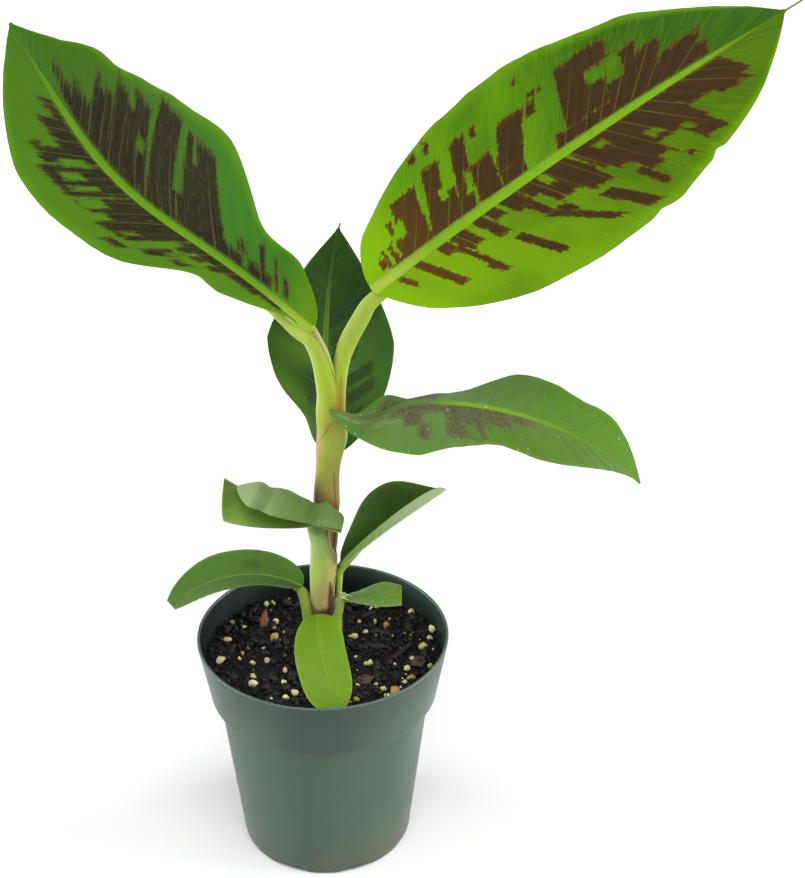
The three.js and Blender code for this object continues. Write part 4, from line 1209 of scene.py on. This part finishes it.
def buildPot(pot, skin):
    # the profile turned round the upright axis, with notches raised in the foot and holes cut through the
    # floor beside them
    profile = potProfile(pot)
    rows, sides = len(profile), pot["sides"]
    turn = 2 * np.pi * np.arange(sides) / sides
    step = 2 * np.pi / pot["drains"]
    off = np.abs(turn % step - step / 2)
    notch = smoothStep(*pot["notchEdge"], off * pot["footRadius"] / (pot["drainWidth"] / 2))
    radius, height = (np.broadcast_to(profile[:, [i]], (rows, sides)) for i in (0, 1))
    lowered = (radius > pot["drainInner"] - 0.5) & (height < pot["notchHeight"])
    height = np.where(lowered, np.maximum(height, pot["notchHeight"] * notch), height)
    points = np.stack([radius * np.cos(turn), radius * np.sin(turn), height], -1).reshape(-1, 3)
    faces = gridFaces(rows, sides, closed=True)
    opened = notch > 0.5
    spans = opened & np.roll(opened, -1)
    # the rings of the holes in the underside, and the same rings in the floor above them
    first = len(pot["floorRadii"])
    last = first + pot["holeRings"] - 1
    firstAbove, lastAbove = rows - 1 - last, rows - 1 - first
    faceRow = np.repeat(np.arange(rows - 1), sides)
    inHoleRow = ((faceRow >= first) & (faceRow < last)) | ((faceRow >= firstAbove) & (faceRow < lastAbove))
    kept = faces[~(inHoleRow & np.tile(spans, rows - 1))]
    whole = np.concatenate([kept, holeWalls(first, last, firstAbove, lastAbove, spans, sides)])
    used, back = np.unique(whole, return_inverse=True)
    points, faces = mergePoles(points[used], back.reshape(whole.shape))
    angle = np.arctan2(points[:, 1], points[:, 0]) / (2 * np.pi) + 0.5
    newPiece("nurseryPot", points, faces, [skin], ["pot"],
             maps=np.stack([angle, points[:, 2] / pot["height"]], -1))


def holeWalls(first, last, firstAbove, lastAbove, spans, sides):
    # quads between the edge of each hole in the underside and the same edge in the floor above it
    side = np.flatnonzero(spans)
    after = (side + 1) % sides
    quads = []
    for ring, above, flip in ((first, lastAbove, False), (last, firstAbove, True)):
        low, high = ring * sides, above * sides
        quad = np.stack([low + side, low + after, high + after, high + side], 1)
        quads.append(quad[:, ::-1] if flip else quad)
    starts = np.flatnonzero(spans & ~np.roll(spans, 1))
    ends = (np.flatnonzero(spans & ~np.roll(spans, -1)) + 1) % sides
    for ring in range(last - first):
        low, above = (first + ring) * sides, (lastAbove - ring) * sides
        for edge, flip in ((starts, True), (ends, False)):
            corners = [low + edge, low + sides + edge, above - sides + edge, above + edge]
            quad = np.stack(corners, 1)
            quads.append(quad[:, ::-1] if flip else quad)
    return np.concatenate(quads)


def mergePoles(points, faces):
    # points at one place become one, and a quad with two corners there becomes a triangle
    key = np.round(points * 1e4).astype(np.int64)
    _, first, back = np.unique(key, axis=0, return_index=True, return_inverse=True)
    faces = back.ravel()[faces]
    same = faces == np.roll(faces, 1, axis=1)
    narrowed = same.sum(1) == 1
    triangles = faces[narrowed][~same[narrowed]].reshape(-1, 3)
    return points[first], [faces[~same.any(1)], triangles]


# upper and inner, and the band's front tone, are painted shade, and lip is a painted highlight
potTones = dict(
    dark=(0.035, 0.07, 0.045), light=(0.047, 0.086, 0.057), cloud=(0.075, 0.1, 0.072),
    scuff=(0.2, 0.24, 0.19),
    dust=(0.03, 0.03, 0.025), upper=(0.024, 0.046, 0.035), grime=(0.1, 0.085, 0.055),
    inner=(0.006, 0.01, 0.01),
    bandFrontShade=(0.016, 0.036, 0.026), lip=(0.16, 0.21, 0.17))


def potSkin():
    # moulded plastic: upright streaks, clouds, fine scuffs and dust, darker towards the rim as painted shade,
    # grime at the foot, a dark inner wall and a darker front of the band as painted shade, and a pale lip as a
    # painted highlight
    skin, tree, shader = newSkin("potSkin", specular=0.4)
    place = objectPlace(tree)
    x, y, z = numbersOf(tree, place)
    upright = noise(tree, stretched(tree, place, (60.0, 60.0, 6.0)), scale=1.0, detail=3.0)
    grain = noise(tree, place, scale=1800.0, detail=2.0)
    cloud = noise(tree, place, scale=22.0, detail=3.0)
    scratch = noise(tree, stretched(tree, place, (130.0, 130.0, 1500.0)), scale=1.0, detail=2.0)
    color = tinted(tree, potTones["dark"], potTones["light"], upright, low=0.3, high=0.7)
    color = tinted(tree, color, potTones["cloud"], cloud, low=0.4, high=0.75, most=0.35)
    color = tinted(tree, color, potTones["scuff"], scratch, low=0.66, high=0.78, most=0.3)
    dust = dots(tree, place, scale=160.0, outer=0.12, inner=0.06, rare=(0.8, 0.82))
    color = blend(tree, calc(tree, "MULTIPLY", dust, 0.6), color, potTones["dust"])
    # painted shade: the band darkens towards the rim, beneath the leaves
    color = tinted(tree, color, potTones["upper"], z, low=80 * mm, high=101 * mm, most=0.6)
    nearFoot = spread(tree, z, 28 * mm, 3 * mm, toLow=0.0, toHigh=0.4)
    grime = calc(tree, "MULTIPLY", spread(tree, cloud, 0.35, 0.65), nearFoot)
    color = blend(tree, grime, color, potTones["grime"])
    # how deep a point lies beneath the outer face of the band
    radius = calc(tree, "SQRT", calc(tree, "ADD", calc(tree, "MULTIPLY", x, x), calc(tree, "MULTIPLY", y, y)))
    bandSlope = (potShape["rimRadius"] - potShape["bandFootRadius"]) / potShape["bandHeight"]
    drop = calc(tree, "MULTIPLY", calc(tree, "SUBTRACT", potShape["height"] * mm, z), bandSlope)
    middleOfWall = (potShape["rimRadius"] - 0.7) * mm
    depth = calc(tree, "SUBTRACT", middleOfWall, calc(tree, "ADD", radius, drop))
    inside = spread(tree, depth, -0.2 * mm, 0.2 * mm)
    # painted shade: the inner wall is darkened below the rim, and more on its left side, which gets less light
    innerWall = calc(tree, "MULTIPLY", inside, spread(tree, z, 84 * mm, 86 * mm))
    below = spread(tree, z, 103 * mm, 94 * mm, toLow=0.05, toHigh=0.92)
    leftward = spread(tree, x, -10 * mm, -45 * mm, toLow=0.0, toHigh=0.88)
    shaded = calc(tree, "MULTIPLY", innerWall, calc(tree, "MAXIMUM", below, leftward))
    color = blend(tree, shaded, color, potTones["inner"])
    # painted shade: the front of the band is darkened where it lies beneath the front leaf
    middle = spread(tree, calc(tree, "ABSOLUTE", x), 34 * mm, 4 * mm)
    ahead = calc(tree, "MULTIPLY", middle, spread(tree, y, 0.0, -30 * mm))
    band = calc(tree, "MULTIPLY", spread(tree, z, 73 * mm, 77 * mm), spread(tree, depth, 0.2 * mm, -0.2 * mm))
    bandFrontShade = calc(tree, "MULTIPLY", calc(tree, "MULTIPLY", ahead, band), 0.8)
    color = blend(tree, bandFrontShade, color, potTones["bandFrontShade"])
    # painted highlight: a pale line along the top of the lip
    color = tinted(tree, color, potTones["lip"], z, low=102.3 * mm, high=102.8 * mm, most=0.45)
    roughness = spread(tree, cloud, 0.3, 0.75, toLow=0.34, toHigh=0.48)
    height = calc(tree, "ADD", calc(tree, "MULTIPLY", grain, 0.5), calc(tree, "MULTIPLY", scratch, 0.3))
    finishSkin(tree, shader, color, roughness, bump(tree, height, distance=0.08 * mm, strength=0.5))
    return skin


buildPot(potShape, potSkin())
print("pot built")


# soil
soil = dict(
    level=91, edge=50.6, rings=110, spokes=330, depth=10, seed=77, bareStem=(8, 16), lift=0.3,
    hills=dict(length=14, height=0.9, seed=5, octaves=4),
    lumps=dict(length=3.5, height=0.7, seed=6, octaves=3),
    crumbs=dict(length=1.6, height=0.3, seed=9, octaves=1))
# loose clumps of peat: how many, their sizes, how deep they sit, how unequal their sides and corners are
clumps = dict(count=2300, size=(0.8, 3.6), lift=0.12, stretch=0.75, jitter=0.16, inner=6, border=1.2)
# grains of perlite: x, y and width; the rest of them are scattered, with the same settings as the clumps
grains = dict(
    placed=[
        (-44, -7, 3.4), (-29, -23, 3.1), (-30, -8, 2.0), (-24, -6, 2.6), (-42, 8, 3.4), (-22, 11, 3.3),
        (-27, 37, 2.2), (-24, 38, 1.9), (-22, 22, 2.7), (-18, 16, 1.7), (-16, -12, 2.7), (-29, -17, 3.2),
        (-16, -22, 2.6), (-15, -31, 2.4), (-11, -28, 3.4), (-35, -1, 1.9), (15, 24, 2.4), (22, 23, 2.0),
        (27, 20, 2.8), (23, 34, 2.7), (38, 31, 2.3), (47, 16, 3.7), (46, 11, 3.1), (43, 5, 3.5),
        (13, 12, 2.7), (18, 14, 2.7), (20, -6, 2.7), (14, -3, 1.9), (36, -11, 3.4), (31, -8, 2.3),
        (38, -17, 2.4), (35, -21, 2.2), (23, -21, 2.0), (26, -27, 2.8), (31, -30, 3.8), (15, -32, 2.4),
        (46, -10, 2.7), (-41, 24, 2.4)],
    scattered=60, size=(0.6, 1.9), scale=0.98, lift=0.5, stretch=0.42, jitter=0.13, inner=14, border=2,
    seed=31)
# chips of bark: x, y, length, width, heading, how far it tips up along its length, and its tone
chips = [
    (-27, 22, 9.5, 4.6, 82, 0.6, 1.0), (18, -18, 9, 7, 10, 0, 0.8), (41, -7, 8, 7, 60, 0.1, 0.7),
    (22, 6, 11, 2, -15, 0.05, 0.3), (23, 4, 10, 1.6, -18, 0.05, 0.2), (36, 21, 8, 5, 20, 0.3, 0.15),
    (34, 2, 14, 2.4, 50, 0.1, 0.1), (39, 34, 5, 4, 0, 0.3, 0.3), (26, 14, 5, 3, 60, 0.4, 0.1),
    (-38, -16, 6, 3, -30, 0.2, 0.1), (-8, 36, 6, 4, 15, 0.3, 0.2), (8, 40, 7, 3, -40, 0.1, 0.1),
    (-33, 31, 5, 3, 35, 0.4, 0.1), (28, -38, 5, 3, 5, 0.2, 0.3), (-22, -36, 6, 3, -20, 0.2, 0.2),
    (-40, 2, 7, 3, 70, 0.3, 0.05), (-12, 6, 6, 3, 20, 0.3, 0.1), (30, -14, 7, 3, -50, 0.2, 0.1),
    (-25, -2, 6, 2.5, -60, 0.4, 0.05), (20, 30, 7, 3, 30, 0.2, 0.1)]
chipDetail = dict(
    corners=9, cornerShift=0.35, outline=(0.7, 1.2), tilt=0.2, lift=0.9, tipLift=0.15, roughness=0.12,
    rings=((0.85, -0.5), (1.0, -0.3), (1.0, 0.15), (0.92, 0.4)), seed=63)


def soilHeight(x, y):
    # the level with rough waves that die out at the stem, and small waves everywhere
    away = smoothStep(*soil["bareStem"], np.hypot(x, y))
    places = np.stack([x, y], -1)
    hills, lumps, crumbs = (
        soil[key]["height"] * roughWaves(places, soil[key]["length"], soil[key]["seed"], soil[key]["octaves"])
        for key in ("hills", "lumps", "crumbs"))
    return soil["level"] + soil["lift"] + away * (hills + lumps - soil["lift"]) + crumbs


def buildSoil(skin):
    # a shallow round cake: a flat underside, an upright edge and a rough top from the edge to the middle
    turn = 2 * np.pi * np.arange(soil["spokes"]) / soil["spokes"]
    underside = [0.05 * soil["edge"], 0.5 * soil["edge"], soil["edge"] - 1.6]
    radii = np.concatenate([underside, soil["edge"] * np.linspace(1, 0.02, soil["rings"])])
    x, y = radii[:, None] * np.cos(turn), radii[:, None] * np.sin(turn)
    z = soilHeight(x, y)
    z[:len(underside)] = soil["level"] - soil["depth"]
    points, faces = solidFromRings(np.stack([x, y, z], -1))
    newPiece("soilBed", points, faces, [skin], ["soil"])


# a rounded lump of 20 faces: the corners of an icosahedron
golden = (1 + 5**0.5) / 2
lumpPoints = unit(np.array([
    (-1, golden, 0), (1, golden, 0), (-1, -golden, 0), (1, -golden, 0), (0, -1, golden), (0, 1, golden),
    (0, -1, -golden), (0, 1, -golden), (golden, 0, -1), (golden, 0, 1), (-golden, 0, -1), (-golden, 0, 1)]))
lumpFaces = np.array([
    (0, 11, 5), (0, 5, 1), (0, 1, 7), (0, 7, 10), (0, 10, 11), (1, 5, 9), (5, 11, 4), (11, 10, 2),
    (10, 7, 6), (7, 1, 8),
    (3, 9, 4), (3, 4, 2), (3, 2, 6), (3, 6, 8), (3, 8, 9), (4, 9, 5), (2, 4, 11), (6, 2, 10), (8, 6, 7),
    (9, 8, 1)])


def finerLump(points, faces):
    # each triangle becomes four, with the new corners pushed out to the sphere
    middles = {}
    grown = list(points)

    def middle(a, b):
        key = (min(a, b), max(a, b))
        if key not in middles:
            middles[key] = len(grown)
            grown.append(unit(points[a] + points[b]))
        return middles[key]

    rows = []
    for a, b, c in faces.tolist():
        ab, bc, ca = middle(a, b), middle(b, c), middle(c, a)
        rows += [(a, ab, ca), (b, bc, ab), (c, ca, bc), (ab, bc, ca)]
    return np.array(grown), np.array(rows)


def turnedAtRandom(rng, count):
    # random turns, as rotation matrices from unit quaternions
    w, x, y, z = unit(rng.normal(size=(count, 4))).T
    return np.stack([
        np.stack([1 - 2 * (y * y + z * z), 2 * (x * y - z * w), 2 * (x * z + y * w)], -1),
        np.stack([2 * (x * y + z * w), 1 - 2 * (x * x + z * z), 2 * (y * z - x * w)], -1),
        np.stack([2 * (x * z - y * w), 2 * (y * z + x * w), 1 - 2 * (x * x + y * y)], -1)], 1)


def scatterLumps(name, x, y, size, detail, shape, skin, rng):
    # one lump for each place, stretched and turned at random, with its corners moved in and out
    base, faces = shape
    count = len(x)
    scale = size[:, None, None] / 2 * (1 + detail["stretch"] * rng.uniform(-1, 1, (count, 1, 3)))
    uneven = 1 + detail["jitter"] * rng.normal(size=(count, len(base), 1)).clip(-2, 2)
    local = np.einsum("nij,nkj->nki", turnedAtRandom(rng, count), base[None] * uneven * scale)
    centre = np.stack([x, y, soilHeight(x, y) + detail["lift"] * size], -1)
    rows = (faces[None] + (np.arange(count) * len(base))[:, None, None]).reshape(-1, 3)
    tone = rng.uniform(0, 1, count).repeat(len(base))
    newPiece(name, local + centre[:, None], [rows], [skin], places={"tone": tone})


def roundSpots(rng, count, inner, outer):
    # places spread evenly over a ring: the square of the radius and the angle are both even random numbers
    radius = np.sqrt(rng.uniform(inner**2, outer**2, count))
    turn = rng.uniform(0, 2 * np.pi, count)
    return radius * np.cos(turn), radius * np.sin(turn)


def buildChips(skin):
    # flat uneven slabs: an uneven oval outline in four rings from its underside to its top, tilted a little
    detail = chipDetail
    corners = detail["corners"]
    rng = np.random.default_rng(detail["seed"])
    points, faces, tones, count = [], [], [], 0
    for x, y, length, width, heading, tip, tone in chips:
        shift = rng.uniform(-detail["cornerShift"], detail["cornerShift"], corners)
        turn = 2 * np.pi * (np.arange(corners) + shift) / corners
        oval = np.stack([np.cos(turn) * length / 2, np.sin(turn) * width / 2], -1)
        outline = oval * rng.uniform(*detail["outline"], (corners, 1))
        spin = np.radians(heading)
        flat = outline @ np.array([[np.cos(spin), np.sin(spin)], [-np.sin(spin), np.cos(spin)]])
        slope = rng.uniform(-detail["tilt"], detail["tilt"], 2) + tip * np.array([np.cos(spin), np.sin(spin)])
        lift = detail["lift"] + flat @ slope + detail["tipLift"] * tip * length
        ground = soilHeight(np.array([x]), np.array([y]))[0]
        rings = []
        for inset, rise in detail["rings"]:
            height = ground + lift + rise + rng.uniform(-detail["roughness"], detail["roughness"], corners)
            rings.append(np.column_stack([x + inset * flat[:, 0], y + inset * flat[:, 1], height]))
        chipPoints, chipFaces = solidFromRings(np.array(rings))
        faces += [group + count for group in chipFaces]
        points.append(chipPoints)
        tones.append(np.full(len(chipPoints), tone))
        count += len(chipPoints)
    newPiece("barkChips", np.concatenate(points), faces, [skin],
             places={"tone": np.concatenate(tones)})


def soilSkin():
    # near-black peat with brown crumbs and fine fibres
    skin, tree, shader = newSkin("peatSkin", specular=0.3)
    place = objectPlace(tree)
    crumbs = noise(tree, place, scale=900.0, detail=4.0, roughness=0.7)
    broad = noise(tree, place, scale=120.0, detail=3.0)
    color = tinted(tree, (0.003, 0.0025, 0.0035), (0.02, 0.016, 0.015), crumbs, low=0.4, high=0.75)
    color = tinted(tree, color, (0.012, 0.009, 0.008), broad, low=0.5, high=0.75, most=0.5)
    roughness = spread(tree, crumbs, 0.3, 0.7, toLow=0.7, toHigh=0.95)
    finishSkin(tree, shader, color, roughness, bump(tree, crumbs, distance=0.8 * mm, strength=0.9))
    return skin


# Loose bits of the mix: dark and light tones, roughness, the size and depth of the grain, and an odd tone
# that a few of them have.
bitLooks = dict(
    crumbSkin=dict(dark=(0.003, 0.0027, 0.0045), light=(0.018, 0.014, 0.015), roughness=0.62, grain=1400.0,
                   depth=0.3),
    perliteSkin=dict(dark=(0.62, 0.54, 0.2), light=(0.88, 0.84, 0.5), odd=(0.42, 0.31, 0.05), roughness=0.8,
                     grain=1500.0, depth=0.35),
    barkSkin=dict(dark=(0.02, 0.015, 0.014), light=(0.11, 0.065, 0.05), odd=(0.28, 0.1, 0.035), roughness=0.7,
                  grain=600.0, depth=0.5))


def bitSkin(name):
    # a mix of dark and light by each lump's own tone, with grain in the Object coordinates
    look = bitLooks[name]
    skin, tree, shader = newSkin(name, specular=0.35)
    tone = attribute(tree, "tone", "Fac")
    grain = noise(tree, objectPlace(tree), look["grain"], detail=3.0, roughness=0.65)
    color = blend(tree, tone, look["dark"], look["light"])
    if "odd" in look:
        color = tinted(tree, color, look["odd"], tone, low=0.86, high=0.9)
    color = tinted(tree, color, scaledBy(look["dark"], 0.55), grain, low=0.4, high=0.7, most=0.45)
    finishSkin(tree, shader, color, look["roughness"], bump(tree, grain, look["depth"] * mm, strength=0.6))
    return skin


def buildSoilDetail():
    # clumps of peat over the whole top, perlite where it is placed and scattered between, and the chips
    rng = np.random.default_rng(soil["seed"])
    lump = (lumpPoints, lumpFaces)
    x, y = roundSpots(rng, clumps["count"], clumps["inner"], soil["edge"] - clumps["border"])
    size = rng.uniform(*clumps["size"], len(x)) * rng.uniform(0.5, 1, len(x))
    scatterLumps("peatCrumbs", x, y, size, clumps, lump, bitSkin("crumbSkin"), rng)
    placed = np.array(grains["placed"], float).T
    spare = np.random.default_rng(grains["seed"])
    x, y = roundSpots(spare, grains["scattered"], grains["inner"], soil["edge"] - grains["border"])
    size = grains["scale"] * np.concatenate([placed[2], spare.uniform(*grains["size"], len(x))])
    x, y = np.concatenate([placed[0], x]), np.concatenate([placed[1], y])
    scatterLumps("perliteGrains", x, y, size, grains, finerLump(*lump), bitSkin("perliteSkin"), rng)
    buildChips(bitSkin("barkSkin"))


buildSoil(soilSkin())
buildSoilDetail()
print("soil built")


# stage, light and camera
stage = dict(half=6.0, tone=(0.9, 0.9, 0.9), roughness=0.7, worldStrength=0.4)
# broad distant lights: heading, height above the floor, width in degrees, and strength
suns = dict(overhead=(-80, 62, 50, 1.7), leftSide=(176, 18, 40, 2.6), rightSide=(4, 18, 40, 3.3))
cameraView = dict(place=(0.0341, -0.6862, 0.5899), tilt=60.3, lens=80, sensor=36)


def buildFloor():
    # one square about the middle, in metres
    half = stage["half"]
    corners = [(-half, -half, 0), (half, -half, 0), (half, half, 0), (-half, half, 0)]
    mesh = bpy.data.meshes.new("floor")
    mesh.from_pydata(corners, [], [(0, 1, 2, 3)])
    skin, tree, shader = newSkin("floorSkin", specular=0.2)
    finishSkin(tree, shader, stage["tone"], stage["roughness"])
    mesh.materials.append(skin)
    floor = bpy.data.objects.new("floor", mesh)
    bpy.context.scene.collection.objects.link(floor)


def softSun(name, heading, height, width, strength):
    # a lamp turned down from upright by 90 less its height, and then round to its heading
    light = bpy.data.lights.new(name, "SUN")
    light.angle = np.radians(width)
    light.energy = strength
    lamp = bpy.data.objects.new(name, light)
    lamp.rotation_euler = (np.radians(90 - height), 0, np.radians(heading + 90))
    bpy.context.scene.collection.objects.link(lamp)


buildFloor()
world = bpy.data.worlds.new("studio")
world.use_nodes = True
world.node_tree.nodes["Background"].inputs["Color"].default_value = (1, 1, 1, 1)
world.node_tree.nodes["Background"].inputs["Strength"].default_value = stage["worldStrength"]
bpy.context.scene.world = world
for sunName, sunSettings in suns.items():
    softSun(sunName, *sunSettings)
bpy.context.scene.view_settings.view_transform = "Standard"

camera = bpy.data.objects.new("camera", bpy.data.cameras.new("camera"))
camera.data.lens = cameraView["lens"]
camera.data.sensor_width = cameraView["sensor"]
camera.location = cameraView["place"]
camera.rotation_euler = (np.radians(cameraView["tilt"]), 0, 0)
bpy.context.scene.collection.objects.link(camera)
bpy.context.scene.camera = camera
print("stage built")
